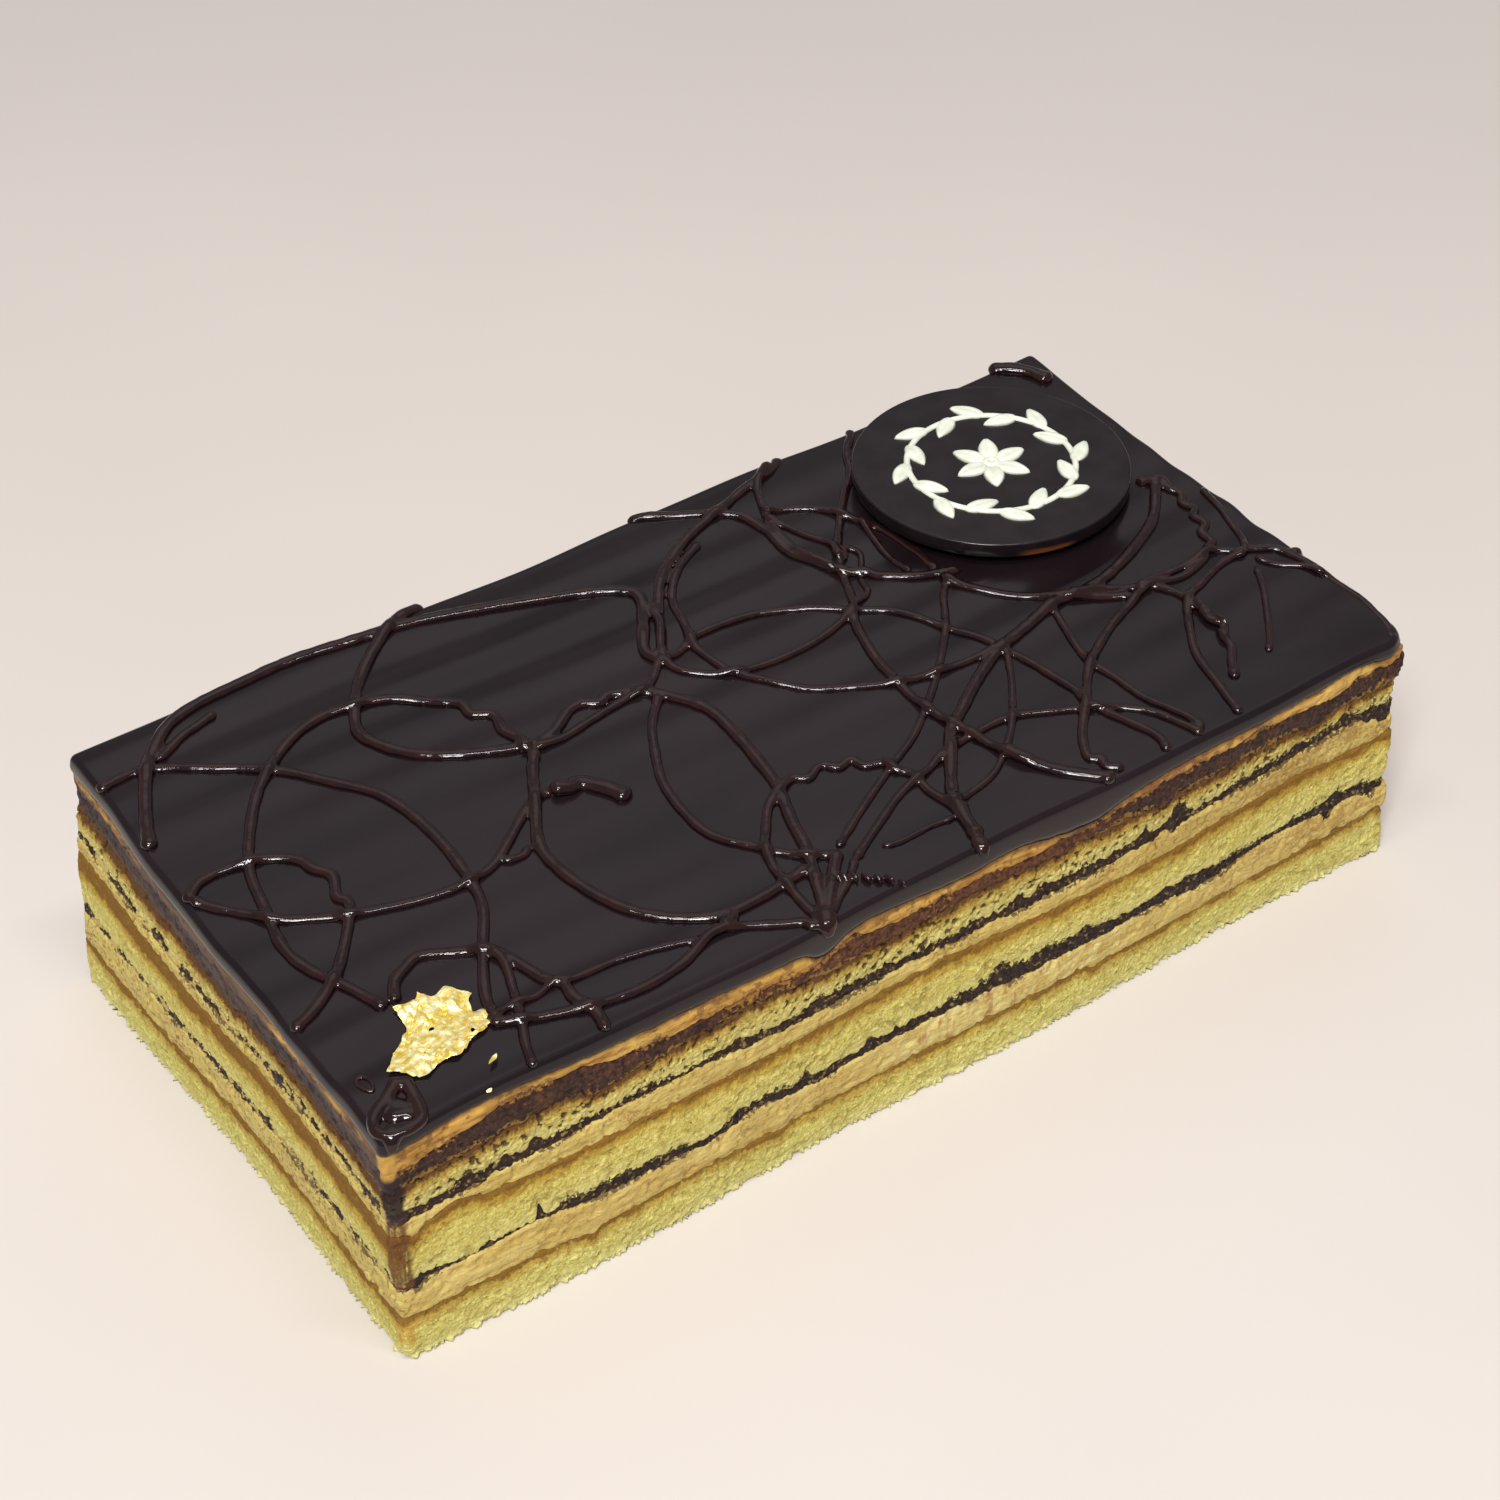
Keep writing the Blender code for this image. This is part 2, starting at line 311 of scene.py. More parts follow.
def outline(x, y, z, proud, right=0.0, radius=CORNER_RADIUS):
    """Where a place of the straight cake lies once its corners are rounded and its sides lean.

    proud is how far it stands out all round, and right how much more at the right end's front.
    """
    over_x = np.abs(x) - (HALF_LENGTH - radius)
    over_y = np.abs(y) - (HALF_WIDTH - radius)
    in_corner = (over_x > 0) & (over_y > 0)
    reach = np.hypot(over_x, over_y)
    keep = np.where(in_corner, np.maximum(over_x, over_y) / np.maximum(reach, 1e-9), 1.0)
    x = np.where(in_corner, np.sign(x) * (HALF_LENGTH - radius + over_x * keep), x)
    y = np.where(in_corner, np.sign(y) * (HALF_WIDTH - radius + over_y * keep), y)

    end = np.sign(x)
    side = np.sign(y)
    end_out = CUT_DEPTH * np.sin(2 * math.pi * y / CUT_PITCH + 1.3 * end + z / 19.0)
    lean = LEFT_LEAN[0] + (LEFT_LEAN[1] - LEFT_LEAN[0]) * (y + HALF_WIDTH) / (2 * HALF_WIDTH)
    lean = lean * np.interp(z, *zip(*LEAN_LEFT_AT))
    toe = RIGHT_TOE * smooth(TOE_HEIGHT, 1.0, z)
    toe = (toe + right) * smooth(-HALF_WIDTH + TOE_REACH, -HALF_WIDTH, y)
    end_out = end_out + np.where(end < 0, lean, toe)
    side_out = CUT_DEPTH * np.sin(2 * math.pi * x / CUT_PITCH + 0.8 + 0.9 * side - z / 23.0)
    return (x + x / HALF_LENGTH * (proud + end_out),
            y + y / HALF_WIDTH * (proud + side_out))


def rim_places():
    """Even places round the straight cake, counterclockwise from above, from the front left."""
    count = int(PERIMETER / RIM_STEP)
    along = np.arange(count) * PERIMETER / count
    corners = np.array([(-1, -1), (1, -1), (1, 1), (-1, 1), (-1, -1)]) * (HALF_LENGTH, HALF_WIDTH)
    reach = np.array([0.0, 2 * HALF_LENGTH, 2 * (HALF_LENGTH + HALF_WIDTH),
                      4 * HALF_LENGTH + 2 * HALF_WIDTH, PERIMETER])
    return np.interp(along, reach, corners[:, 0]), np.interp(along, reach, corners[:, 1])


# One line between two layers, bottom to top. top, bow, tilt and wave give its height as in
# the CAD part: at mid length, how much it climbs to both ends, to the right and how it
# wavers. ragged is how far its small teeth stray and pitch their spacing. front has its
# heights along the front, (x, height), and nicks are sharp strays there, (x, rise, reach).
Line = namedtuple("Line", "top bow tilt wave ragged pitch front nicks")
LEFT_RISE = (0.3, 0.3, 0.6, 1.4, 0.8, 0.6, 0.3, 0.0, 0.0)   # of each line, along the left end

LINES = (
    Line(9.6, 0.9, 0.5, 0.25, 0.16, 1.4,
         ((-100, 9.7), (-85, 9.6), (-66, 9.1), (-48, 9.5), (-30, 9.0), (-8, 9.1), (8, 9.2), (26, 9.8),
          (42, 9.0), (60, 8.9), (80, 9.6), (92, 10.6), (100, 10.7)),
         ((-67, -1.2, 1.5), (-31, -0.7, 1.8), (34, -0.9, 1.2), (97, 0.6, 1.5))),
    Line(15.6, 0.8, 0.3, 0.35, 0.22, 1.2,
         ((-100, 15.5), (-94, 16.4), (-88, 16.1), (-76, 16.6), (-68, 15.7), (-50, 15.2), (-42, 14.8),
          (-35, 16.7), (-30, 15.5), (-8, 15.5), (12, 15.2), (30, 15.3), (46, 15.4), (60, 14.4),
          (70, 16.2), (84, 16.5), (92, 16.6), (100, 15.6)),
         ((-97, -1.0, 1.0), (56.5, -0.9, 1.0), (86.5, -3.0, 1.6), (96, -0.8, 1.2))),
    Line(17.7, 0.8, 0.5, 0.35, 0.38, 0.8,
         ((-100, 17.6), (-94, 17.9), (-90, 17.0), (-78, 17.2), (-66, 17.9), (-50, 16.9), (-44, 16.4),
          (-35, 18.6), (-30, 17.3), (-18, 17.1), (-6, 17.8), (10, 18.1), (20, 18.9), (29, 19.0),
          (38, 17.9), (54, 18.5), (62, 17.4), (82, 18.6), (90, 18.9), (100, 17.6)),
         ((-84, 0.9, 1.0), (-75.3, 3.6, 0.6), (-39, 0.9, 1.0), (-25.6, 2.4, 0.6),
          (-12, 1.0, 1.0), (13.6, 1.7, 1.6), (31, 0.8, 1.2), (49, 0.8, 1.2), (88, 1.0, 1.5))),
    Line(28.0, 1.0, 0.9, 0.3, 0.18, 1.6,
         ((-100, 28.3), (-95, 28.2), (-90, 29.5), (-84, 28.3), (-76, 27.5), (-56, 27.8), (-40, 27.7),
          (-26, 27.3), (-8, 28.1), (12, 27.9), (30, 27.3), (46, 27.1), (62, 28.0), (76, 28.6),
          (90, 28.2), (100, 28.6)),
         ((-96.5, -1.2, 1.2), (-88, 0.5, 2.0))),
    Line(31.2, 1.6, 1.6, 0.35, 0.22, 1.2,
         ((-100, 30.4), (-88, 31.0), (-74, 31.5), (-62, 32.2), (-53, 32.7), (-38, 32.0), (-28, 31.0),
          (-10, 31.2), (8, 30.7), (26, 31.1), (40, 31.6), (52, 32.5), (66, 33.1), (80, 34.0),
          (88, 34.7), (94, 34.3), (97, 31.8), (100, 31.6)),
         ((49.6, -1.6, 0.8), (-84, -0.5, 1.0), (93.5, -1.2, 1.2))),
    Line(33.1, 1.6, 1.5, 0.35, 0.4, 0.8,
         ((-100, 32.8), (-94, 32.7), (-80, 33.1), (-62, 33.4), (-46, 33.6), (-38, 33.8), (-28, 33.0),
          (-18, 33.5), (-6, 32.7), (8, 32.6), (26, 33.2), (38, 33.7), (46, 33.8), (60, 34.2),
          (74, 35.2), (88, 36.4), (100, 35.8)),
         ((-87, 1.5, 1.3), (-80.5, 1.4, 0.9), (-75, 1.3, 1.4), (-39, 0.9, 1.2), (-24, 1.2, 1.8),
          (16.8, 1.4, 1.2), (22, 1.0, 1.4), (43, 1.4, 1.4), (50.5, 3.4, 2.2), (78, 0.9, 1.0),
          (88, 0.6, 1.2))),
    Line(40.0, -0.2, 0.7, 0.4, 0.42, 1.0,
         ((-100, 38.0), (-94, 38.4), (-80, 39.2), (-70, 39.7), (-60, 38.8), (-50, 39.4), (-38, 40.7),
          (-30, 40.2), (-20, 38.8), (-8, 39.0), (6, 39.3), (26, 39.6), (40, 39.7), (56, 39.8),
          (68, 39.9), (82, 39.6), (90, 39.8), (100, 40.4)),
         ((-64, -1.2, 2.6), (-47, 0.6, 1.5), (13, -0.8, 1.2), (25, -0.9, 1.4), (47, -0.8, 2.0),
          (80, -0.9, 2.4))),
    Line(42.6, 0.7, 0.2, 0.35, 0.32, 1.4,
         ((-100, 43.0), (-95, 42.2), (-88, 43.4), (-77, 45.2), (-68, 44.4), (-56, 42.9), (-46, 42.7),
          (-30, 42.6), (-25, 41.8), (-18, 43.7), (-10, 42.4), (6, 42.2), (20, 42.0), (32, 43.0),
          (44, 44.2), (60, 44.4), (74, 44.1), (86, 43.3), (93, 44.6), (100, 45.0)),
         ((-66, 0.6, 2.0), (-17, 1.0, 1.5), (67, 0.8, 1.6), (89.6, 1.4, 1.2))),
    Line(45.0, 1.9, 0.4, 0.3, 0.12, 2.0,
         ((-100, 46.6), (-94, 47.0), (-86, 47.7), (-78, 47.3), (-64, 46.6), (-48, 46.2), (-32, 46.0),
          (-27, 45.4), (-22.5, 43.0), (-18, 45.2), (-6, 45.2), (6, 44.4), (14, 44.9), (24, 43.4),
          (31, 42.9), (38, 44.9), (50, 46.2), (66, 46.6), (80, 47.0), (90, 47.5), (95, 46.4),
          (100, 47.2)),
         ()),
)
WAVE_PITCH_X = 62.0
WAVE_PITCH_Y = 74.0
HIDDEN_BUMPS = 9               # stray places of each line on each of the other sides
CORNER_FADE = 9.0              # how far round the corners the front's heights still tell


def line_heights(index, x, y):
    """Height of a line between layers at places round the rim; line -1 is the base."""
    if index < 0:
        return np.zeros_like(x)
    line = LINES[index]
    rng = np.random.default_rng(40 + index)

    def plain(x, y):
        u = x / HALF_LENGTH
        turn = 1.7 * index
        wave = np.sin(2 * math.pi * x / WAVE_PITCH_X + turn)
        wave = wave * np.cos(2 * math.pi * y / WAVE_PITCH_Y + 0.6 * turn)
        return line.top + line.bow * u * u + line.tilt * u + line.wave * wave

    shift = through_knots(line.front, x) - plain(x, -HALF_WIDTH)
    height = plain(x, y) + shift * np.exp(-(y + HALF_WIDTH) / CORNER_FADE)
    height = height + LEFT_RISE[index] * smooth(-60.0, -HALF_LENGTH, x) * smooth(-45.0, -8.0, y)
    front = smooth(-HALF_WIDTH + 2.0, -HALF_WIDTH, y)
    for centre, rise, reach in line.nicks:
        height = height + front * rise * np.exp(-((x - centre) / reach) ** 2)
    for edge, along, at in ((HALF_LENGTH, y, x), (-HALF_LENGTH, y, -x), (HALF_WIDTH, x, y)):
        here = smooth(abs(edge) - 3.0, abs(edge), at)
        for _ in range(HIDDEN_BUMPS):
            centre = rng.uniform(-0.95, 0.95) * (HALF_WIDTH if along is y else HALF_LENGTH)
            rise = rng.uniform(-0.8, 1.2) * (0.3 + line.ragged)
            reach = rng.uniform(1.0, 5.0)
            height = height + here * rise * np.exp(-((along - centre) / reach) ** 2)

    count = len(x)
    step = PERIMETER / count
    teeth = round_noise(count, line.pitch / step, rng) + 0.7 * round_noise(count, 0.5 * line.pitch / step, rng)
    patches = 0.5 + 0.5 * round_noise(count, 11.0 / step, rng)
    return height + 1.2 * line.ragged * teeth * (0.4 + 1.0 * patches)


# ------------------------------------------------------------------ layers

# One layer's relief. proud is how far it stands out and right how much more at the right
# end's front corner, belly how far its middle swells, cell the size of its mesh cells; then
# size and height of its large lumps and of its crumbs, size and depth of its pores, and how
# far its foot frays out over the floor.
Layer = namedtuple("Layer", "node proud right belly cell lump lump_height crumb crumb_height "
                            "pore pore_depth fray")

LAYERS = (
    Layer("sponge_bottom", 0.1, 0.2, 0.3, 0.265, 5.0, 0.4, 0.9, 0.32, 1.8, 0.3, 1.0),
    Layer("cream_lower", 0.1, 1.1, 0.2, 0.33, 4.0, 0.4, 1.6, 0.2, 2.4, 0.35, 0.0),
    Layer("ganache_lower", -0.1, 0.0, 0.1, 0.28, 2.2, 0.3, 0.9, 0.45, 1.3, 0.25, 0.0),
    Layer("sponge_middle", 0.1, 0.0, 0.3, 0.275, 5.0, 0.35, 0.9, 0.3, 1.8, 0.3, 0.0),
    Layer("cream_middle", 0.0, -0.3, 0.1, 0.33, 4.0, 0.3, 1.4, 0.22, 2.0, 0.35, 0.0),
    Layer("ganache_middle", -0.2, -0.6, 0.1, 0.28, 2.2, 0.3, 0.9, 0.45, 1.3, 0.25, 0.0),
    Layer("sponge_top", -0.2, -1.2, 0.3, 0.23, 4.0, 0.4, 0.95, 0.34, 1.2, 0.7, 0.0),
    Layer("ganache_top", -0.1, 0.3, 0.15, 0.3, 3.0, 0.3, 1.2, 0.28, 1.8, 0.3, 0.0),
    Layer("cream_top", 0.0, -0.6, 0.2, 0.3, 5.0, 0.3, 1.5, 0.2, 2.0, 0.25, 0.0),
)


def layer_tree():
    """A wall swept round the rim between two heights, with crumb relief and closed ends."""
    tree, given = new_tree("cake_layer", {
        "Columns": "Int", "Rows": "Int", "Belly": "Float", "Lump Size": "Float",
        "Lump Height": "Float", "Crumb Size": "Float", "Crumb Height": "Float",
        "Pore Size": "Float", "Pore Depth": "Float", "Fray": "Float", "Floor Middle": "Float",
        "Roof Middle": "Float", "Finish": "Material",
    })
    rim = node(tree, "GeometryNodeMeshToCurve", [given["Geometry"]])
    grid = node(tree, "GeometryNodeMeshGrid",
                [1.0, 1.0, given["Columns"] + 1.0, given["Rows"] + 1.0])
    flat = tree.nodes.new("ShaderNodeSeparateXYZ")
    plug(tree, node(tree, "GeometryNodeInputPosition"), flat.inputs[0])
    run = Wire(tree, flat.outputs[0]) + 0.5
    rise = Wire(tree, flat.outputs[1]) + 0.5
    for label, value in (("run", run), ("rise", rise)):
        grid = node(tree, "GeometryNodeStoreNamedAttribute",
                    {"Geometry": grid, "Name": label, "Value": value}, data_type="FLOAT",
                    domain="POINT")
    run, rise = stored_value(tree, "run"), stored_value(tree, "rise")

    def on_rim(label, output):
        value = node(tree, "GeometryNodeInputNamedAttribute", [label], data_type="FLOAT_VECTOR")
        return node(tree, "GeometryNodeSampleCurve",
                    {"Curves": rim, "Value": value, "Factor": run}, output,
                    data_type="FLOAT_VECTOR", mode="FACTOR")

    place = on_rim("levels", "Position")
    outward = on_rim("levels", "Tangent").vector("CROSS_PRODUCT", (0.0, 0.0, 1.0))
    outward = outward.vector("NORMALIZE", (0.0, 0.0, 0.0))
    levels = tree.nodes.new("ShaderNodeSeparateXYZ")
    plug(tree, on_rim("levels", "Value"), levels.inputs[0])
    floor, roof = Wire(tree, levels.outputs[0]), Wire(tree, levels.outputs[1])
    height = floor + (roof - floor) * rise
    lean = on_rim("lean", "Value").vector("MULTIPLY", node(tree, "ShaderNodeCombineXYZ", [rise, rise, 0.0]))
    base = place.vector("ADD", lean).vector("ADD", node(tree, "ShaderNodeCombineXYZ", [0.0, 0.0, height]))

    def relief(size, detail, rough):
        return node(tree, "ShaderNodeTexNoise",
                    {"Vector": base, "Scale": size.math("POWER", -1.0), "Detail": detail,
                     "Roughness": rough})

    def billow(size):
        return (relief(size, 0.0, 0.5) - 0.5).math("ABSOLUTE") * 4.0

    thickness = (roof - floor) * (1.0 / MM)
    crumb = billow(given["Crumb Size"]) * 0.45
    crumb = crumb + (relief(given["Crumb Size"] * 0.7, 3.0, 0.7) - 0.5) * 1.5 + 0.3
    pores = relief(given["Pore Size"], 1.0, 0.5).ramp(0.56, 0.68)
    stored = {"above": thickness * rise, "under": thickness * (1.0 - rise), "crumb": crumb,
              "pore": pores}
    for label, value in stored.items():
        grid = node(tree, "GeometryNodeStoreNamedAttribute",
                    {"Geometry": grid, "Name": label, "Value": value}, data_type="FLOAT",
                    domain="POINT")

    lumps = (relief(given["Lump Size"], 2.0, 0.5) - 0.5) * 2.0 * given["Lump Height"]
    fine = (stored_value(tree, "crumb") - 0.5) * given["Crumb Height"]
    pits = stored_value(tree, "pore") * given["Pore Depth"]
    belly = (rise * math.pi).math("SINE") * given["Belly"]
    upright = base.vector("MULTIPLY", (1.0, 1.0, 0.3))
    tufts = node(tree, "ShaderNodeTexNoise", {"Vector": upright, "Scale": 1.0 / (0.8 * MM), "Detail": 2.0,
                                              "Roughness": 0.7}).ramp(0.42, 0.66)
    frayed = stored_value(tree, "above").ramp(1.5, 0.0) * (tufts - 0.3) * given["Fray"]
    from_end = stored_value(tree, "above").math("MINIMUM", stored_value(tree, "under"))
    lip = from_end.ramp(0.0, 0.4, 0.22 * MM, 0.0)
    push = belly + lumps + fine + frayed - pits - lip
    wall = node(tree, "GeometryNodeSetPosition",
                {"Geometry": grid, "Position": base.vector("ADD", outward.scaled(push))})
    wall = node(tree, "GeometryNodeMergeByDistance", {"Geometry": wall, "Distance": 0.01 * MM})

    # The two open ends go in level for a little, then to one point in the middle.
    at = node(tree, "GeometryNodeInputPosition")
    edge = node(tree, "GeometryNodeInputMeshEdgeNeighbors").math("COMPARE", 1.0, 0.1)
    middle = given["Floor Middle"] + (given["Roof Middle"] - given["Floor Middle"]) * rise
    ring = at.vector("MULTIPLY", (0.97, 0.95, 1.0))
    centre = node(tree, "ShaderNodeCombineXYZ", [0.0, 0.0, middle])
    for target in (ring, centre):
        extruded = tree.nodes.new("GeometryNodeExtrudeMesh")
        extruded.mode = "EDGES"
        plug(tree, wall, extruded.inputs["Mesh"])
        plug(tree, edge, extruded.inputs["Selection"])
        plug(tree, 0.0, extruded.inputs["Offset Scale"])
        edge = Wire(tree, extruded.outputs["Top"])
        wall = node(tree, "GeometryNodeSetPosition",
                    {"Geometry": Wire(tree, extruded.outputs["Mesh"]), "Selection": edge,
                     "Position": target})
    wall = node(tree, "GeometryNodeMergeByDistance", {"Geometry": wall, "Distance": 0.01 * MM})
    close_tree(tree, wall, given["Finish"])
    return tree


def build_layers(finishes):
    """The nine layers, each a wall between its two lines."""
    tree = layer_tree()
    x, y = rim_places()
    count = len(x)
    pieces = []
    for index, layer in enumerate(LAYERS):
        floor = line_heights(index - 1, x, y) - (0.25 if index else 0.0)
        roof = line_heights(index, x, y) + 0.05
        roof = np.maximum(roof, floor + 0.5)
        low_x, low_y = outline(x, y, floor, layer.proud, layer.right)
        high_x, high_y = outline(x, y, roof, layer.proud, layer.right)
        zero = np.zeros(count)
        loop = [(i, (i + 1) % count) for i in range(count)]
        carrier = mesh_from("rim", np.stack([low_x, low_y, zero], 1), edges=loop)
        store(carrier, "levels", "FLOAT_VECTOR", np.stack([floor, roof, zero], 1) * MM)
        store(carrier, "lean", "FLOAT_VECTOR", np.stack([high_x - low_x, high_y - low_y, zero], 1) * MM)
        pieces.append(grow(layer.node + DRESSED, carrier, tree, {
            "Columns": int(PERIMETER / layer.cell),
            "Rows": max(5, int(round(float(np.mean(roof - floor)) / layer.cell))),
            "Belly": layer.belly * MM,
            "Lump Size": layer.lump * MM, "Lump Height": layer.lump_height * MM,
            "Crumb Size": layer.crumb * MM, "Crumb Height": layer.crumb_height * MM,
            "Pore Size": layer.pore * MM, "Pore Depth": layer.pore_depth * MM,
            "Fray": layer.fray * MM,
            "Floor Middle": float(np.mean(floor)) * MM,
            "Roof Middle": float(np.mean(roof)) * MM,
            "Finish": finishes[layer.node],
        }))
    return pieces


# ------------------------------------------------------------------ glaze

def glaze_height(x, y):
    """Height of the glaze's upper face: faint palette-knife waves and a few soft swells."""
    wander = 1.6 * np.sin(x / 31.0 + 0.4) + 2.2 * np.sin(x / 57.0 + 2.0)
    ripple = np.sin(2 * math.pi * (y + wander) / RIPPLE_PITCH)
    ripple = ripple + 0.6 * np.sin(2 * math.pi * (y - 0.12 * x) / (1.7 * RIPPLE_PITCH) + 1.0)
    strength = 0.55 + 0.45 * np.sin(x / 43.0 + y / 17.0)
    swell = np.sin(x / 23.0 + 1.1) * np.cos(y / 19.0 - 0.6)
    corner = np.exp(-(np.hypot(x - HALF_LENGTH, y + HALF_WIDTH) / 11.0) ** 2)
    return GLAZE_TOP - 0.28 + RIPPLE_HEIGHT * ripple * strength + 0.07 * swell - CORNER_SINK * corner


def glaze_outline(x, y, z, proud):
    """The glaze's outline: softer corners than the layers', and a rim that swells unevenly."""
    radius = np.where((x > 0) & (y < 0), GLAZE_CORNERS[1], GLAZE_CORNERS[0])
    uneven = np.sin(x / 5.3 + 1.0) * np.cos(y / 4.1 + 0.5) + 0.7 * np.sin(x / 11.7 - y / 7.9)
    return outline(x, y, z, proud + 0.16 * uneven, 0.0, radius)


def rim_lines(half, inset_steps):
    """Grid lines from -half to half: a few close ones at each rim and even ones between."""
    inner = half - inset_steps[-1]
    even = np.linspace(-inner, inner, int(2 * inner / GLAZE_CELL) + 1)
    rim = half - np.array(inset_steps[:-1])
    return np.concatenate([-rim, even, rim[::-1]])


def build_glaze(finish):
    """A poured sheet with a rounded rim that runs down the sides to a ragged edge."""
    turns = np.radians([90, 70, 52, 36, 22, 10, 0])
    insets = list(GLAZE_ROUNDING * (1.0 - np.sin(turns)))
    us = rim_lines(HALF_LENGTH, insets)
    vs = rim_lines(HALF_WIDTH, insets)
    grid_x, grid_y = np.meshgrid(us, vs, indexing="ij")
    edge = np.minimum(HALF_LENGTH - np.abs(grid_x), HALF_WIDTH - np.abs(grid_y))
    inside = np.clip(edge / GLAZE_ROUNDING, 0.0, 1.0)
    drop = GLAZE_ROUNDING * (1.0 - np.sqrt(1.0 - (1.0 - inside) ** 2))
    height = glaze_height(grid_x, grid_y) - drop
    flat_x, flat_y = glaze_outline(grid_x, grid_y, height, 0.25)
    points = [np.stack([flat_x.ravel(), flat_y.ravel(), height.ravel()], 1)]

    long, wide = len(us), len(vs)
    index = np.arange(long * wide).reshape(long, wide)
    faces = [(a, b, c, d) for a, b, c, d in zip(
        index[:-1, :-1].ravel(), index[1:, :-1].ravel(), index[1:, 1:].ravel(), index[:-1, 1:].ravel())]

    ring = np.concatenate([index[:-1, 0], index[-1, :-1], index[:0:-1, -1], index[0, :0:-1]])
    rim_x, rim_y = grid_x.ravel()[ring], grid_y.ravel()[ring]
    top = height.ravel()[ring]
    foot = line_on(rim_x, rim_y, len(LINES) - 1)
    foot = np.minimum(foot, top - 0.6)
    rows = 9
    previous = ring
    start = long * wide
    for row in range(1, rows + 1):
        t = row / rows
        z = top * (1.0 - t) + foot * t
        thin = 0.25 + 0.12 * np.sin(math.pi * t) - 0.35 * smooth(0.75, 1.0, t)
        side_x, side_y = glaze_outline(rim_x, rim_y, z, thin)
        points.append(np.stack([side_x, side_y, z], 1))
        current = start + np.arange(len(ring))
        faces += quads(current, previous)
        previous = current
        start += len(ring)
    for inset, z in ((2.0, foot), (6.0, np.full(len(ring), GLAZE_UNDER))):
        keep_x = 1.0 - inset / HALF_LENGTH
        keep_y = 1.0 - inset / HALF_WIDTH
        points.append(np.stack([rim_x * keep_x, rim_y * keep_y, z], 1))
        current = start + np.arange(len(ring))
        faces += quads(current, previous)
        previous = current
        start += len(ring)
    points.append(np.array([[0.0, 0.0, GLAZE_UNDER]]))
    following = np.roll(previous, -1)
    faces += [(start, b, a) for a, b in zip(previous, following)]
    mesh = mesh_from("glaze", np.concatenate(points), faces)
    mesh.shade_smooth()
    mesh.materials.append(finish)
    return add_object("glaze" + DRESSED, mesh)


def quads(lower, upper):
    """Faces between two closed rings of points that run counterclockwise seen from above."""
    after_low = np.roll(lower, -1)
    after_high = np.roll(upper, -1)
    return list(zip(lower.tolist(), after_low.tolist(), after_high.tolist(), upper.tolist()))


def line_on(x, y, index):
    """Height of a line at any rim places, read from its heights round the rim."""
    rim_x, rim_y = rim_places()
    heights = line_heights(index, rim_x, rim_y)
    step = PERIMETER / len(rim_x)
    front = y <= -HALF_WIDTH + 1e-6
    right = x >= HALF_LENGTH - 1e-6
    back = y >= HALF_WIDTH - 1e-6
    along = np.where(front, x + HALF_LENGTH, np.where(
        right, 2 * HALF_LENGTH + y + HALF_WIDTH, np.where(
            back, 2 * (HALF_LENGTH + HALF_WIDTH) + HALF_LENGTH - x,
            4 * HALF_LENGTH + 2 * HALF_WIDTH + HALF_WIDTH - y)))
    return np.interp(along / step, np.arange(len(rim_x) + 1), np.append(heights, heights[0]))


# ------------------------------------------------------------------ drizzle

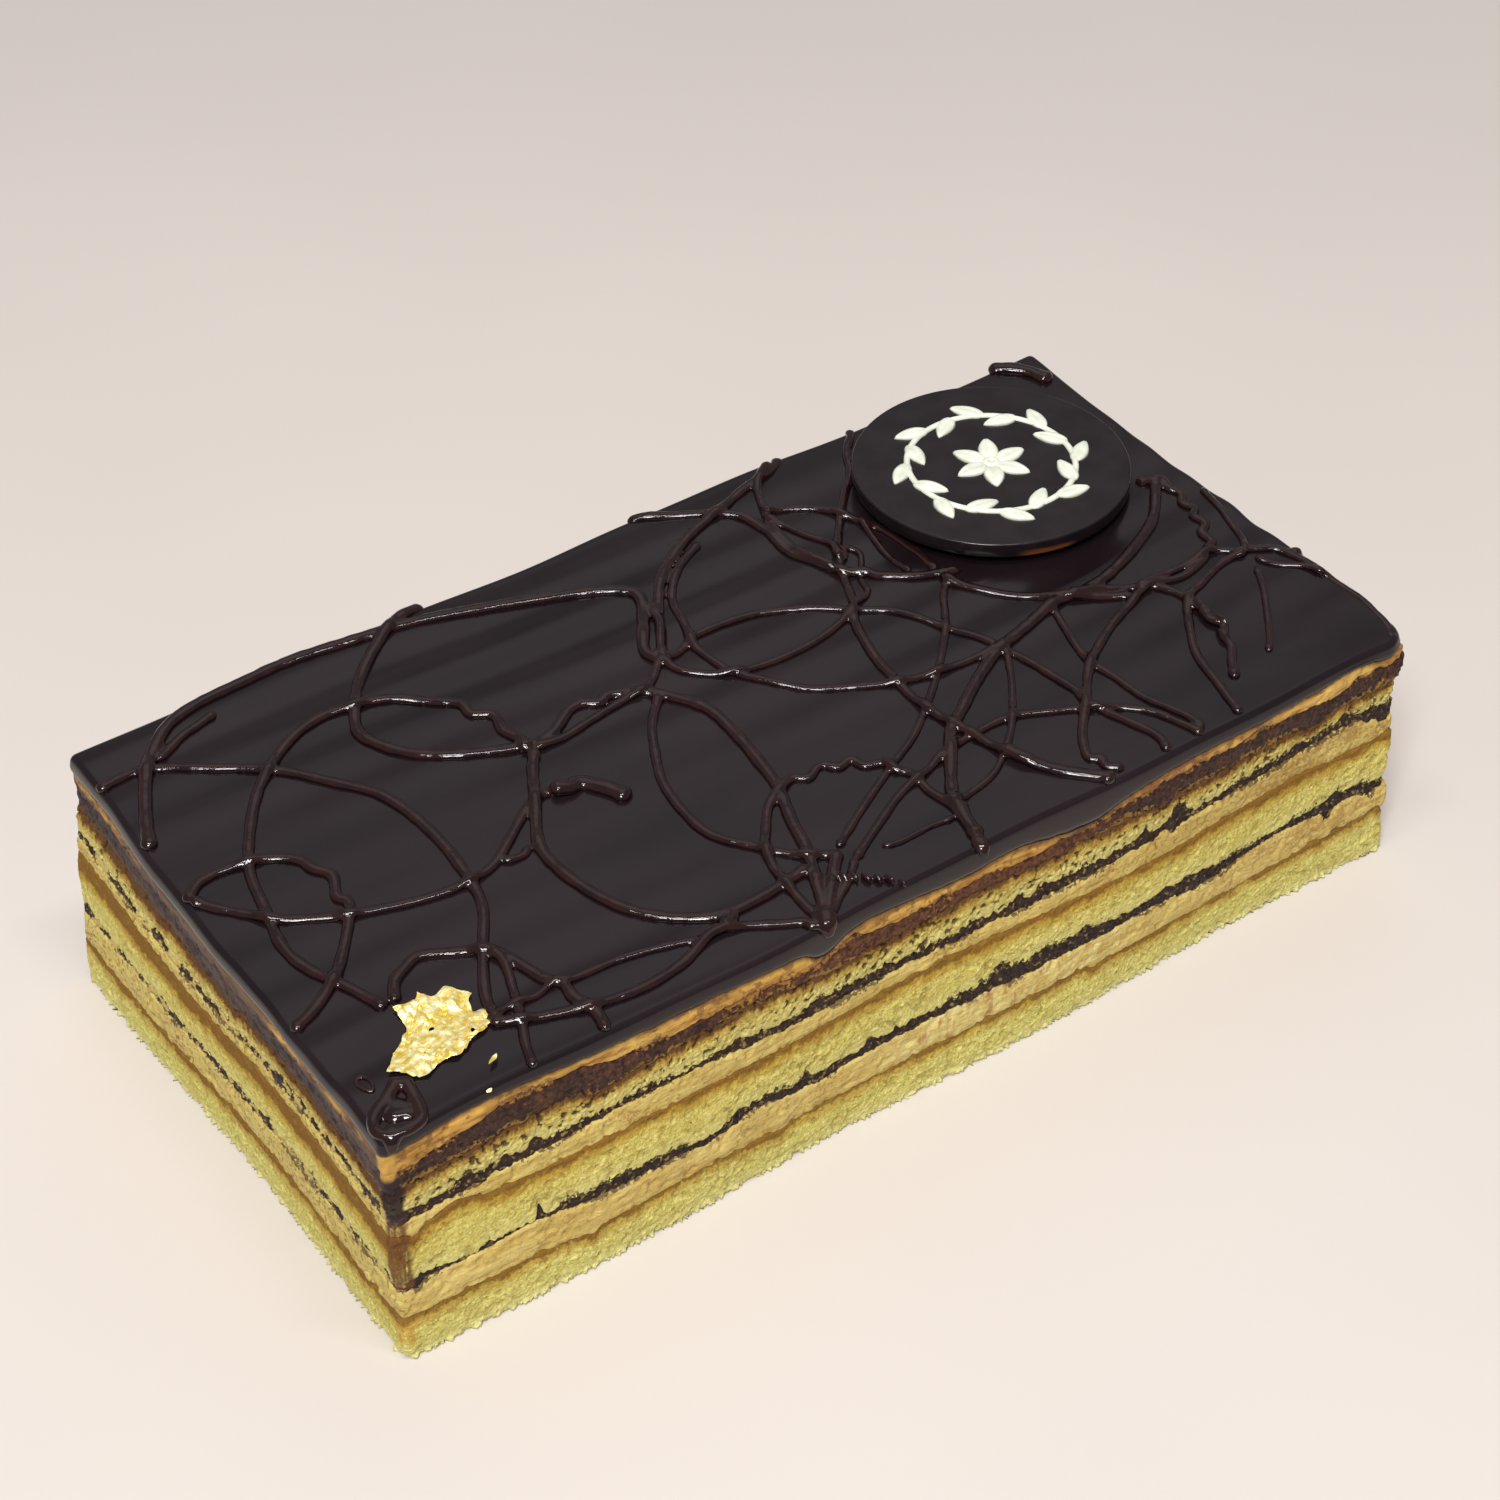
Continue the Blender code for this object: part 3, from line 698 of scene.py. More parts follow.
# Strokes of dark chocolate: (width, points). A third number on a point is how far it hangs
# below the glaze. Strokes later in the list lie over the earlier ones.
STROKES = (
    (2.0, ((-99.7, 40.2), (-91.5, 40.3), (-82.7, 34.5), (-75, 28.8), (-66.8, 18.8), (-62.4, 11.1),
           (-60.8, 0), (-61.5, -11.8), (-63.1, -18.6), (-67.5, -26), (-72, -34), (-73.6, -39))),
    (2.4, ((-99, 22.5), (-96.5, 29), (-92.7, 36.9), (-89.5, 41.9), (-83.8, 47.2), (-77, 49.8),
           (-68, 50.6), (-59.1, 51.1), (-46.6, 49.6), (-37.7, 48.4), (-25.2, 44.5), (-9.9, 39),
           (-3.1, 34.7), (-1.6, 31.4), (-4.9, 25.4), (-8.8, 19), (-7.6, 16))),
    (1.8, ((-88.5, 41), (-83, 43.9), (-79, 45), (-75.5, 46))),
    (2.2, ((-33, 51.9, 0.9), (-37, 51.2), (-41.3, 49), (-49.9, 42.2), (-55.2, 35.4), (-58.5, 28),
           (-55.6, 21.1), (-50.2, 15.6), (-44.1, 12.2), (-37.5, 9.8), (-32.7, 10.1), (-27.7, 13.1),
           (-24.9, 13.5), (-22.4, 12), (-19.9, 12.7), (-15.2, 10.4), (-11.6, 6.5), (-8.6, 0),
           (-8.3, -6.4), (-9.1, -15), (-10.2, -21.8), (-13.1, -30), (-14.9, -36.4), (-18, -43.6))),
    (2.0, ((-85.9, -28.8), (-87.7, -23.2), (-90.9, -16), (-92.3, -9), (-90.6, 0), (-88.6, 9),
           (-84.5, 16.9), (-79.9, 23.6), (-74.9, 28.6), (-69.1, 32.9), (-62.7, 35), (-57.4, 34.7),
           (-50.2, 32.8), (-44.9, 28.6), (-41.2, 25), (-41.1, 21.9), (-38.2, 19.6), (-39, 15.1),
           (-38, 12), (-38.3, 8.5))),
    (2.0, ((-99.8, 8.6), (-95.6, 11.5), (-88.8, 11.3), (-84.1, 9.7), (-81, 7), (-80.2, 4),
           (-78.5, 1), (-80.2, -3.6), (-79.3, -5.6), (-81.3, -9.3), (-85.6, -15), (-89.5, -19.3),
           (-94.9, -22.9), (-99.4, -24.8))),
    (1.9, ((-99, 8.4), (-96.6, 4.7), (-93, 0.4), (-89.9, -3), (-82.4, -7.5), (-76.3, -9.8),
           (-69.1, -11.8), (-62.7, -12.4), (-57, -11.4), (-52, -8), (-46, -3.4), (-42, -1.8),
           (-38.8, -2.6))),
    (3.0, ((-40.6, -2.1), (-38, -3.1), (-35.6, -2.9), (-34, -4.8), (-32.6, -6.9), (-31, -10.6))),
    (1.5, ((-55.2, -11.6), (-52, -12.1), (-49.9, -10.7))),
    (1.7, ((-37, 8.6), (-32, 8.2), (-26, 9.2), (-19.9, 10.1), (-13.4, 10.9), (-8.1, 15.4),
           (-4.9, 15.4), (-2, 16.5), (0.1, 17.6), (6.6, 17.6), (13, 16.5), (19.4, 13.3),
           (26.2, 8), (31.2, 4.4), (34.1, 0), (37.3, -6.2), (40.9, -14.3), (42.6, -21.4),
           (44, -30), (43.6, -34.3), (46.2, -42.1), (47.6, -47.2), (46.7, -50.9))),
    (1.8, ((-13.4, 7.9), (-18.1, 2.6), (-21.6, -3.6), (-24.7, -10.7), (-25.8, -19), (-25.2, -25),
           (-21.6, -30.7), (-17.7, -35.7), (-14.1, -38.6), (-11.6, -40))),
    (1.5, ((-10.5, -38.7), (-2, -33.6), (7.3, -28.4), (15.1, -24.3), (23, -18.2), (30.1, -11.8),
           (36.9, -4.5), (41.6, 2.2), (45.3, 5.8))),
    (2.2, ((-37.4, 8), (-40.2, 4), (-44.1, -3.2), (-48.4, -11.1), (-49, -17.9), (-47.7, -25),
           (-44.9, -32.1), (-39.5, -37.9), (-34.1, -41.1), (-27, -41.3), (-21.3, -40.6),
           (-17.2, -40))),
    (2.1, ((-84.3, -28.6), (-82, -24.6), (-79.1, -22.9), (-76.3, -22.1), (-71.3, -24.6),
           (-67, -27.4), (-64.9, -32.1), (-63.1, -37.5), (-61.8, -39.6), (-62, -42.9),
           (-60.9, -45.4), (-60.8, -48.2), (-61.6, -51.3))),
    (1.7, ((-67, -27.4), (-66.7, -31), (-68.3, -36), (-70.6, -42.1), (-72.6, -46.5), (-74.2, -51.4))),
    (1.5, ((-75, -39.8), (-69.9, -39), (-66.5, -39.5), (-62.7, -38.6), (-59.9, -39.6), (-52, -40.1),
           (-44.9, -41.8), (-39.1, -43.6), (-34.9, -43.3), (-32, -42.2))),
    (1.9, ((-75, -40.5), (-69.1, -43.2), (-63.4, -45), (-59.1, -46.1), (-52, -46.9), (-44.9, -46.1),
           (-38, -43.9), (-33.4, -44.6), (-27, -47.9), (-24.5, -49.3), (-23.6, -51.6))),
    (1.8, ((-22, -51), (-22.3, -44.6), (-21.6, -37.9), (-20.2, -32.9), (-17.7, -29.3),
           (-13.8, -24.6), (-9.1, -22.1), (-7, -21.5), (-4.9, -22.9), (-2.4, -21.7), (-1, -21.9),
           (0.6, -23.6), (3.3, -23.1), (4.2, -25.6), (7.3, -27), (7.6, -29.3), (9.3, -31.8),
           (9.1, -36.4), (10, -41), (9.4, -45.4), (8.4, -51), (7.6, -52.4, 0.9))),
    (1.2, ((-4.8, -42.4), (-2, -43.3), (4, -43.2), (8.6, -43.7))),
    (1.6, ((-9.9, -42.5), (-2, -38), (5.1, -34.3), (11.6, -32.5), (16.6, -30.7), (23, -29.6),
           (30.9, -29.6), (37.3, -32.5), (44.8, -36.4), (50.3, -41.2), (52.8, -47), (54.1, -51))),
    (1.4, ((12, -41), (19.4, -39.3), (24.4, -36.2), (30.1, -31.1), (36.6, -22.9), (41.2, -15.6))),
    (1.6, ((55, -10), (53.4, -15.7), (50.9, -24.3), (51.4, -31.5), (52.3, -39), (54.8, -46.1),
           (55, -50))),
    (2.3, ((10.4, -41.5), (13, -37.1), (17.3, -31.4), (21.2, -26.4), (25.1, -23.9), (33.7, -18.2),
           (40.1, -15), (47.6, -12.8), (55.1, -10.9), (64.1, -10.7), (71.2, -8.9), (78.4, -5.7),
           (85.5, -1.4), (91.9, 5.4), (93, 7))),
    (1.9, ((26.3, 8.4), (23.7, 2.2), (22, -5), (20.9, -14.3), (21.2, -21.4), (22.6, -27.1),
           (24.4, -35), (26.2, -39.6))),
    (2.5, ((24.6, -35.6), (26.2, -39.6), (29.4, -45), (33.7, -49.6), (35, -51.5))),
    (1.7, ((15.5, 38.8), (8.7, 34.8), (3, 28.5), (0.4, 20.5), (-1.2, 14.7), (-0.3, 7.9),
           (1.9, 2.9), (7.3, -3.9), (13, -7.9), (20.9, -12.1), (29.1, -13.9), (40.5, -14.6))),
    (1.7, ((-7.6, 15.6), (-6.6, 11.1), (-1.3, 6.6), (5.1, 4.6), (12, 4.3), (18.4, 5.1), (26.2, 7.8),
           (28.4, 11.1), (32.3, 19.7), (36.6, 26.1), (44.4, 35.1), (49.5, 40.2), (52.5, 45.5),
           (56.2, 49.4), (57.5, 51.6, 0.6))),
    (1.3, ((27.5, 8.6), (31.2, 10.1), (32.7, 14), (35.9, 18.3), (36.7, 20.3), (35.2, 22.2),
           (33.4, 19.6))),
    (2.0, ((9, 51.8, 0.8), (12, 50.8), (16.6, 47.9), (22.3, 44), (26.2, 40.4), (27.2, 34.4),
           (26.9, 28), (28.7, 21.9), (31.9, 16.9), (34.4, 15.2), (35.9, 12.6), (39.8, 9.5),
           (44.4, 7.6), (48.5, 6.5))),
    (2.1, ((42, 51.8, 0.8), (37.3, 49), (30.9, 47.2), (23, 44), (16.6, 41.9), (9.8, 38.3),
           (4.1, 33.6), (-0.4, 27.6), (-4.5, 20.5), (-7.2, 16.2))),
    (1.5, ((-1.5, 29.5), (-2.6, 24), (-5.9, 18.6), (-7.2, 15.8))),
    (1.7, ((39, 51.2), (33.7, 46.9), (30.5, 40.4), (28.3, 33), (28.4, 24.7), (30.6, 18.6))),
    (1.5, ((29.2, 38), (31.6, 31.1), (34.1, 25.4), (32.6, 20.4))),
    (1.7, ((29.8, 40), (36.9, 36.1), (40.8, 30.9), (43.4, 24.5), (45.3, 16.5), (44.6, 8.4))),
    (1.5, ((42.6, 27.6), (40.9, 19.7), (40.6, 10.4))),
    (1.9, ((44.4, 6.4), (46.4, 1.4), (50.9, -3.9), (56.6, -9.3), (62.3, -13), (68.4, -16.4))),
    (1.8, ((58.6, -10.6), (64.1, -12), (69.4, -14.6), (72.3, -15.9), (74.4, -19.6), (75.4, -23.2),
           (74.8, -25), (75.3, -27), (74, -29.4), (75, -31.9), (73.2, -34.3), (72.8, -36.6),
           (70.1, -39.8), (67.6, -43.4))),
    (1.8, ((38.2, -50), (35.9, -47.9), (36.7, -46.1), (35, -44.8), (38, -39.6), (43.4, -34),
           (50.1, -26.8), (58.7, -21.4), (65.9, -18.2), (72.3, -15.9), (78.4, -17.4), (84.8, -15.7),
           (87.2, -13.6), (89.7, -12.6), (89.5, -9.8), (91.7, -8.4), (91.3, -5.5), (93.2, -3.8),
           (92.7, -1), (94.3, 1.2), (93.4, 3.6), (94, 6), (92, 6.9), (90.3, 9))),
    (1.7, ((70.1, -15.5), (75.9, -15), (82.3, -15.2), (87.3, -14.4), (91, -17.3), (94.1, -18.9),
           (97.3, -21.1), (98.9, -26.4, 0.2), (99.7, -33, 0.5),
           (99.9, -40, 0.6), (99.2, -46.4, 0.6), (97.2, -50.2, 0.8))),
    (1.5, ((92.6, -20.4), (94.4, -24.3), (97.4, -27.4), (99.3, -31, 0.3))),
    (1.4, ((92.6, -17.8), (94.8, -14.3), (96.6, -7.1), (98.6, 0.5))),
    (1.4, ((91, -22.6), (87.3, -28.6), (80.9, -37.1), (76.9, -41.4))),
    (1.7, ((92, -18.6), (87, -18.5), (80.1, -20.7), (75.1, -22.9), (69.8, -29.6), (66.6, -35),
           (64.4, -42.9), (62.4, -50.6))),
    (3.0, ((90.4, 51.9, 0.7), (92.4, 50.6), (95.9, 46.9), (97.6, 42.2))),
    (2.2, ((-91.3, -42.2), (-95, -44.7), (-98.2, -46.8), (-98.9, -49.8), (-96.4, -51.4),
           (-92.6, -50.8), (-91.2, -46.5), (-90.9, -42.4))),
    (0.8, ((-95.9, -37.4), (-94.9, -39.8), (-95.6, -42.2), (-96.8, -40), (-95.9, -37.4))),
)
GLOBS = (                      # where strokes run together, pool or hang over the edge
    (2.2, ((-11.2, -39.4), (-15.6, -44.2), (-19.2, -48.2), (-21.9, -51.6))),
    (1.9, ((-17.6, -42.4), (-19.6, -46.8), (-21.6, -51))),
    (1.6, ((-9.9, -42.4), (-13, -45.2), (-17.6, -48.4), (-21, -50.8))),
    (3.1, ((-20.4, -49.2), (-21.6, -51), (-22.2, -52, 0.6), (-22.4, -52.9, 2.0))),
    (2.6, ((11.2, -41.2), (9.8, -45), (8.9, -49.6))),
    (2.4, ((8.6, -49), (8, -52, 0.6), (7.8, -52.6, 1.6))),
    (4.0, ((-93.2, -45.0, 1.1), (-94.6, -47.0, 1.1), (-95.4, -49.4, 1.1))),
    (3.4, ((-93.2, -46.0, 0.9), (-93.4, -48.0, 0.9), (-94.4, -49.8, 0.9))),
    (2.6, ((-96.4, -49.4), (-98, -51.6, 0.6), (-98.5, -52.5, 2.2))),
    (2.4, ((98.6, -23), (100.3, -23.5, 0.5), (100.6, -23.7, 1.4))),
)
BEADS = (                      # drops that the broken end of a stroke left: (size, x, y)
    (1.3, -15.9, -44.6), (1.3, -14.2, -44.9), (1.3, -12.7, -45.9), (1.25, -11.3, -47.1),
    (1.25, -9.9, -48.3), (1.3, -8.5, -49.5), (1.0, -7.3, -51.2), (1.6, -35, -43.4),
    (1.3, 15.8, -31.6), (1.9, 75.4, -25.6), (1.7, 74.2, -28.4), (1.9, 75.2, -31), (1.6, 73.4, -33.8),
)
STROKE_STEP = 0.5
ROPE_FLATNESS = 0.68           # a rope's height for its width
VOXEL = 0.3


def through(points, step):
    """Even places on a smooth curve through points of (x, y, drop), in millimetres."""
    knots = np.array([(*point, 0.0)[:3] for point in points], float)
    padded = np.vstack([2 * knots[0] - knots[1], knots, 2 * knots[-1] - knots[-2]])
    runs = []
    for a, b, c, d in zip(padded, padded[1:], padded[2:], padded[3:]):
        t = np.linspace(0.0, 1.0, 24, endpoint=False)[:, None]
        runs.append(0.5 * (2 * b + (c - a) * t + (2 * a - 5 * b + 4 * c - d) * t ** 2
                           + (3 * b - a - 3 * c + d) * t ** 3))
    runs.append(knots[-1:])
    path = np.vstack(runs)
    reach = np.append(0.0, np.cumsum(np.linalg.norm(np.diff(path[:, :2], axis=0), axis=1)))
    even = np.linspace(0.0, reach[-1], max(3, int(reach[-1] / step)))
    return np.stack([np.interp(even, reach, path[:, k]) for k in range(3)], 1)


def drizzle_tree():
    """Ropes swept along the strokes, their thickness wavering and swelling at the ends."""
    tree, given = new_tree("drizzle_ropes", {
        "Flatness": "Float", "Waver": "Float", "Waver Size": "Float", "Finish": "Material",
    })
    paths = node(tree, "GeometryNodeMeshToCurve", [given["Geometry"]])
    paths = node(tree, "GeometryNodeSetCurveNormal", [paths], mode="Z_UP")
    place = node(tree, "GeometryNodeInputPosition")
    half = node(tree, "GeometryNodeInputNamedAttribute", ["half_width"], data_type="FLOAT")
    waver = node(tree, "ShaderNodeTexNoise",
                 {"Vector": place, "Scale": given["Waver Size"].math("POWER", -1.0), "Detail": 2.0})
    half = half * (1.0 + (waver - 0.5) * 2.0 * given["Waver"])
    profile = node(tree, "GeometryNodeCurvePrimitiveCircle", {"Resolution": 14, "Radius": 1.0})
    squash = node(tree, "ShaderNodeCombineXYZ", [1.0, given["Flatness"], 1.0])
    profile = node(tree, "GeometryNodeTransform", {"Geometry": profile, "Scale": squash})
    ropes = node(tree, "GeometryNodeCurveToMesh",
                 {"Curve": paths, "Profile Curve": profile, "Scale": half, "Fill Caps": True})
    close_tree(tree, ropes, given["Finish"])
    return tree


def build_drizzle(finish):
    """All strokes as one piece of ropes, which melt later runs together."""
    points, halves, edges = [], [], []
    laid = np.zeros((0, 2))
    drops = [(2.3 * size, ((x - 0.3 * size, y), (x + 0.3 * size, y + 0.1))) for size, x, y in BEADS]
    for width, stroke in (*GLOBS, *drops, *STROKES):
        path = through(stroke, STROKE_STEP)
        x, y, drop = path.T
        half = np.full(len(x), width / 2)
        from_end = np.minimum(np.arange(len(x)), np.arange(len(x))[::-1]) * STROKE_STEP
        half *= 0.55 + 0.45 * smooth(0.0, 0.8, from_end) + 0.18 * np.exp(-((from_end - 1.1) / 0.6) ** 2)
        lift = np.zeros(len(x))
        if len(laid):
            gap = np.sqrt(((path[:, None, :2] - laid[None, :, :]) ** 2).sum(2)).min(1)
            lift = 0.75 * np.exp(-(gap / 1.3) ** 2)
            lift = np.convolve(np.pad(lift, 2, "edge"), np.ones(5) / 5, "valid")
        height = glaze_height(x, y) + 0.12 * width + lift - drop
        start = sum(map(len, points))
        points.append(np.stack([x, y, height], 1))
        halves.append(half)
        edges += [(start + i, start + i + 1) for i in range(len(x) - 1)]
        if (width, stroke) not in GLOBS:
            laid = np.vstack([laid, path[:, :2]])
    carrier = mesh_from("strokes", np.concatenate(points), edges=edges)
    store(carrier, "half_width", "FLOAT", np.concatenate(halves) * MM)
    ropes = grow("drizzle", carrier, drizzle_tree(), {
        "Flatness": ROPE_FLATNESS, "Waver": 0.22, "Waver Size": 2.6 * MM, "Finish": finish,
    })
    return ropes


def melt(piece, voxel, smoothing, faces):
    """Run overlapping closed shapes together, soften the result and thin its mesh."""
    remesh = piece.modifiers.new("melt", "REMESH")
    remesh.mode = "VOXEL"
    remesh.voxel_size = voxel * MM
    remesh.use_smooth_shade = True
    soften = piece.modifiers.new("soften", "SMOOTH")
    soften.factor = 0.5
    soften.iterations = smoothing
    thin = piece.modifiers.new("thin", "DECIMATE")
    graph = bpy.context.evaluated_depsgraph_get()
    thin.show_viewport = thin.show_render = False
    graph.update()
    full = sum(len(face.vertices) - 2 for face in piece.evaluated_get(graph).data.polygons)
    thin.show_viewport = thin.show_render = True
    thin.ratio = min(1.0, faces / full)
    graph.update()
    mesh = bpy.data.meshes.new_from_object(piece.evaluated_get(graph))
    finish = piece.data.materials[0]
    piece.modifiers.clear()
    piece.data = mesh
    mesh.materials.clear()
    mesh.materials.append(finish)
    mesh.shade_smooth()
    mesh.name = piece.name
    return piece


# ------------------------------------------------------------------ disc and its ornament

PLAQUE_THICKNESS = 2.9
PLAQUE_BEVEL = 0.35
PLAQUE_TILT = math.radians(1.3)
PLAQUE_TILT_AXIS = Vector((-0.77, 0.64, 0.0))
RELIEF_THICKNESS = 0.9
STEM_RADIUS = 12.6
LEAF_COUNT = 16
LEAF_LEAN = 34.0               # degrees that a leaf turns away from the ring
PETAL_COUNT = 6


def plaque_frame():
    """Places of the disc: its middle at its underside, tilted as it lies on the ropes."""
    low, high = box_mm("plaque")
    middle = (low + high) / 2
    middle[2] -= PLAQUE_THICKNESS / 2
    lay = Matrix.Rotation(PLAQUE_TILT, 4, PLAQUE_TILT_AXIS)
    return Matrix.Translation(Vector(middle) * MM) @ lay, (high[0] - low[0]) / 2


def lathe(name, profile, turns, finish):
    """A solid of revolution from (radius, height) points that start and end on the axis."""
    angles = 2 * math.pi * np.arange(turns) / turns
    inner = profile[1:-1]
    points = [(0.0, 0.0, profile[0][1]), (0.0, 0.0, profile[-1][1])]
    for radius, height in inner:
        points += [(radius * math.cos(a), radius * math.sin(a), height) for a in angles]
    rings = [2 + turns * k + np.arange(turns) for k in range(len(inner))]
    faces = []
    for lower, upper in zip(rings, rings[1:]):
        faces += quads(lower, upper)
    following = np.roll(np.arange(turns), -1)
    faces += [(0, int(rings[0][b]), int(rings[0][a])) for a, b in enumerate(following)]
    faces += [(1, int(rings[-1][a]), int(rings[-1][b])) for a, b in enumerate(following)]
    mesh = mesh_from(name, points, faces)
    mesh.shade_smooth()
    mesh.materials.append(finish)
    return add_object(name, mesh)


def build_plaque(finish):
    lay, radius = plaque_frame()
    top, bevel = PLAQUE_THICKNESS, PLAQUE_BEVEL
    arc = [(radius - bevel + bevel * math.sin(t), top - bevel + bevel * math.cos(t))
           for t in np.linspace(0.0, math.pi / 2, 6)]
    profile = [(0.0, 0.0), (radius - 0.6, 0.0), (radius - 0.2, 0.08), (radius, 0.4), (radius, 1.4),
               *arc[::-1], *[(r, top) for r in (radius - 0.6, radius * 0.75, radius * 0.4)], (0.0, top)]
    piece = lathe("plaque" + DRESSED, profile, 192, finish)
    piece.data.transform(lay)
    return piece


def leaf_mesh(name, length, width, height, groove):
    """A plump pointed leaf that lies along X, closed below, with a groove along its middle."""
    along, across = 12, 8
    points, faces = [], []
    for under in (False, True):
        for i in range(along + 1):
            t = i / along
            half = width / 2 * math.sin(math.pi * t ** 0.8) ** 0.75
            for j in range(across + 1):
                s = 2 * j / across - 1
                bulge = max(0.0, 1 - s * s) ** 0.5 * math.sin(math.pi * t) ** 0.4
                top = height * bulge - groove * math.exp(-(s / 0.18) ** 2) * bulge
                points.append((length * (t - 0.5), half * s, 0.0 if under else top))
    stride = across + 1
    count = (along + 1) * stride
    for i in range(along):
        for j in range(across):
            a = i * stride + j
            ring = (a, a + stride, a + stride + 1, a + 1)
            faces.append(ring)
            faces.append(tuple(count + k for k in reversed(ring)))
    mesh = mesh_from(name, points, faces)
    shape = bmesh.new()
    shape.from_mesh(mesh)
    bmesh.ops.remove_doubles(shape, verts=shape.verts, dist=0.01 * MM)
    bmesh.ops.recalc_face_normals(shape, faces=shape.faces)
    shape.to_mesh(mesh)
    shape.free()
    return mesh


def ring_tree():
    """Copies of a shape round a ring, leaning in and out by turns, with a stem between them."""
    tree, given = new_tree("ornament_ring", {
        "Count": "Int", "Radius": "Float", "Turn": "Float", "Lean": "Float",
        "Stem Radius": "Float", "Stem Thickness": "Float", "Step Out": "Float",
        "Finish": "Material",
    })
    ring = node(tree, "GeometryNodeMeshCircle",
                {"Vertices": given["Count"], "Radius": given["Radius"]}, fill_type="NONE")
    index = node(tree, "GeometryNodeInputIndex")
    side = index.math("MODULO", 2.0) * 2.0 - 1.0
    around = index.math("DIVIDE", given["Count"]) * (2 * math.pi)
    at = node(tree, "GeometryNodeInputPosition")
    outward = at.vector("NORMALIZE", (0.0, 0.0, 0.0))
    ring = node(tree, "GeometryNodeSetPosition",
                {"Geometry": ring, "Offset": outward.scaled(side * given["Step Out"])})
    angle = around + given["Turn"] - side * given["Lean"]
    turned = node(tree, "ShaderNodeCombineXYZ", [0.0, 0.0, angle])
    copies = node(tree, "GeometryNodeInstanceOnPoints",
                  {"Points": ring, "Instance": given["Geometry"], "Rotation": turned})
    stem = node(tree, "GeometryNodeCurvePrimitiveCircle",
                {"Resolution": 96, "Radius": given["Stem Radius"]})
    section = node(tree, "GeometryNodeCurvePrimitiveCircle",
                   {"Resolution": 10, "Radius": given["Stem Thickness"]})
    stem = node(tree, "GeometryNodeCurveToMesh", {"Curve": stem, "Profile Curve": section})
    both = tree.nodes.new("GeometryNodeJoinGeometry")
    for part in (stem, copies):
        tree.links.new(part.socket, both.inputs[0])
    close_tree(tree, Wire(tree, both.outputs[0]), given["Finish"])
    return tree


def build_ornament(finish):
    """A wreath of leaves with a six-petalled blossom in its middle, piped in white chocolate."""
    lay, _ = plaque_frame()
    lift = Matrix.Translation((0.0, 0.0, (PLAQUE_THICKNESS - 0.05) * MM))
    tree = ring_tree()
    wreath = grow("plaque_wreath" + DRESSED, leaf_mesh("leaf", 7.0, 3.5, RELIEF_THICKNESS, 0.25), tree, {
        "Count": LEAF_COUNT, "Radius": 15.1 * MM, "Turn": math.radians(90.0),
        "Lean": math.radians(LEAF_LEAN), "Stem Radius": 15.1 * MM, "Stem Thickness": 0.6 * MM,
        "Step Out": 1.5 * MM, "Finish": finish,
    })
    blossom = grow("plaque_blossom" + DRESSED, leaf_mesh("petal", 6.6, 4.0, RELIEF_THICKNESS, 0.3), tree, {
        "Count": PETAL_COUNT, "Radius": 4.3 * MM, "Turn": 0.0, "Lean": 0.0,
        "Stem Radius": 0.9 * MM, "Stem Thickness": 0.7 * MM, "Step Out": 0.0, "Finish": finish,
    })
    for piece in (wreath, blossom):
        piece.data.transform(lay @ lift)
    return wreath, blossom


# ------------------------------------------------------------------ gold leaf

GOLD_OUTLINE = (
    (-85.2, -29.8), (-84, -30.1), (-81.6, -30.2), (-80.7, -29.2), (-79, -31), (-76.6, -30.2),
    (-75.6, -31.4), (-74, -33.4), (-75, -34.5), (-75.8, -36.8), (-74.1, -37.3), (-74.3, -39.8),
    (-76.3, -41.4), (-78.4, -41.6), (-80.9, -43.2), (-82.4, -43.6), (-84.5, -42.9), (-87.7, -44.2),
    (-89.7, -43.4), (-90.9, -41.4), (-92.2, -40.3), (-91.3, -39.5), (-89.5, -37.5), (-86.6, -35.4),
    (-85.4, -34.1), (-85.2, -31.4),
)
GOLD_FLECKS = (                # middle, half length, half width, turn in degrees
    (-78.3, -46.9, 1.2, 0.4, 35.0), (-82.0, -52.0, 0.5, 0.3, 0.0),
)
GOLD_HOLES = ((-82.5, -36.4, 0.45), (-77.9, -40.6, 0.4), (-85.8, -40.2, 0.3))
GOLD_GRID = 0.42
GOLD_THICKNESS = 0.06


def ragged(outline_points, step, stray, rng):
    """A closed outline with torn edges: more points, each strayed a little."""
    corners = np.array(outline_points)
    made = []
    for a, b in zip(corners, np.roll(corners, -1, axis=0)):
        count = max(1, int(np.linalg.norm(b - a) / step))
        for t in np.arange(count) / count:
            made.append(a + (b - a) * t + rng.normal(0.0, stray, 2))
    return np.array(made)


def inside_outline(points, corners):
    """Which points lie inside a closed outline."""
    hit = np.zeros(len(points), bool)
    x, y = points.T
    for (ax, ay), (bx, by) in zip(corners, np.roll(corners, -1, axis=0)):
        crosses = (ay > y) != (by > y)
        with np.errstate(divide="ignore", invalid="ignore"):
            reach = (bx - ax) * (y - ay) / (by - ay) + ax
        hit ^= crosses & (x < reach)
    return hit


def crumple(x, y):
    """Height of the gold above the glaze: creased facets that stand off in places."""
    low = noise.noise((x / 3.1, y / 3.1, 5.0))
    fold = abs(noise.noise((x / 1.7, y / 2.3, 9.0)))
    crease = abs(noise.noise((x / 0.8, y / 0.9, 2.0)))
    return 0.42 + 0.35 * low + 0.75 * fold + 0.22 * crease


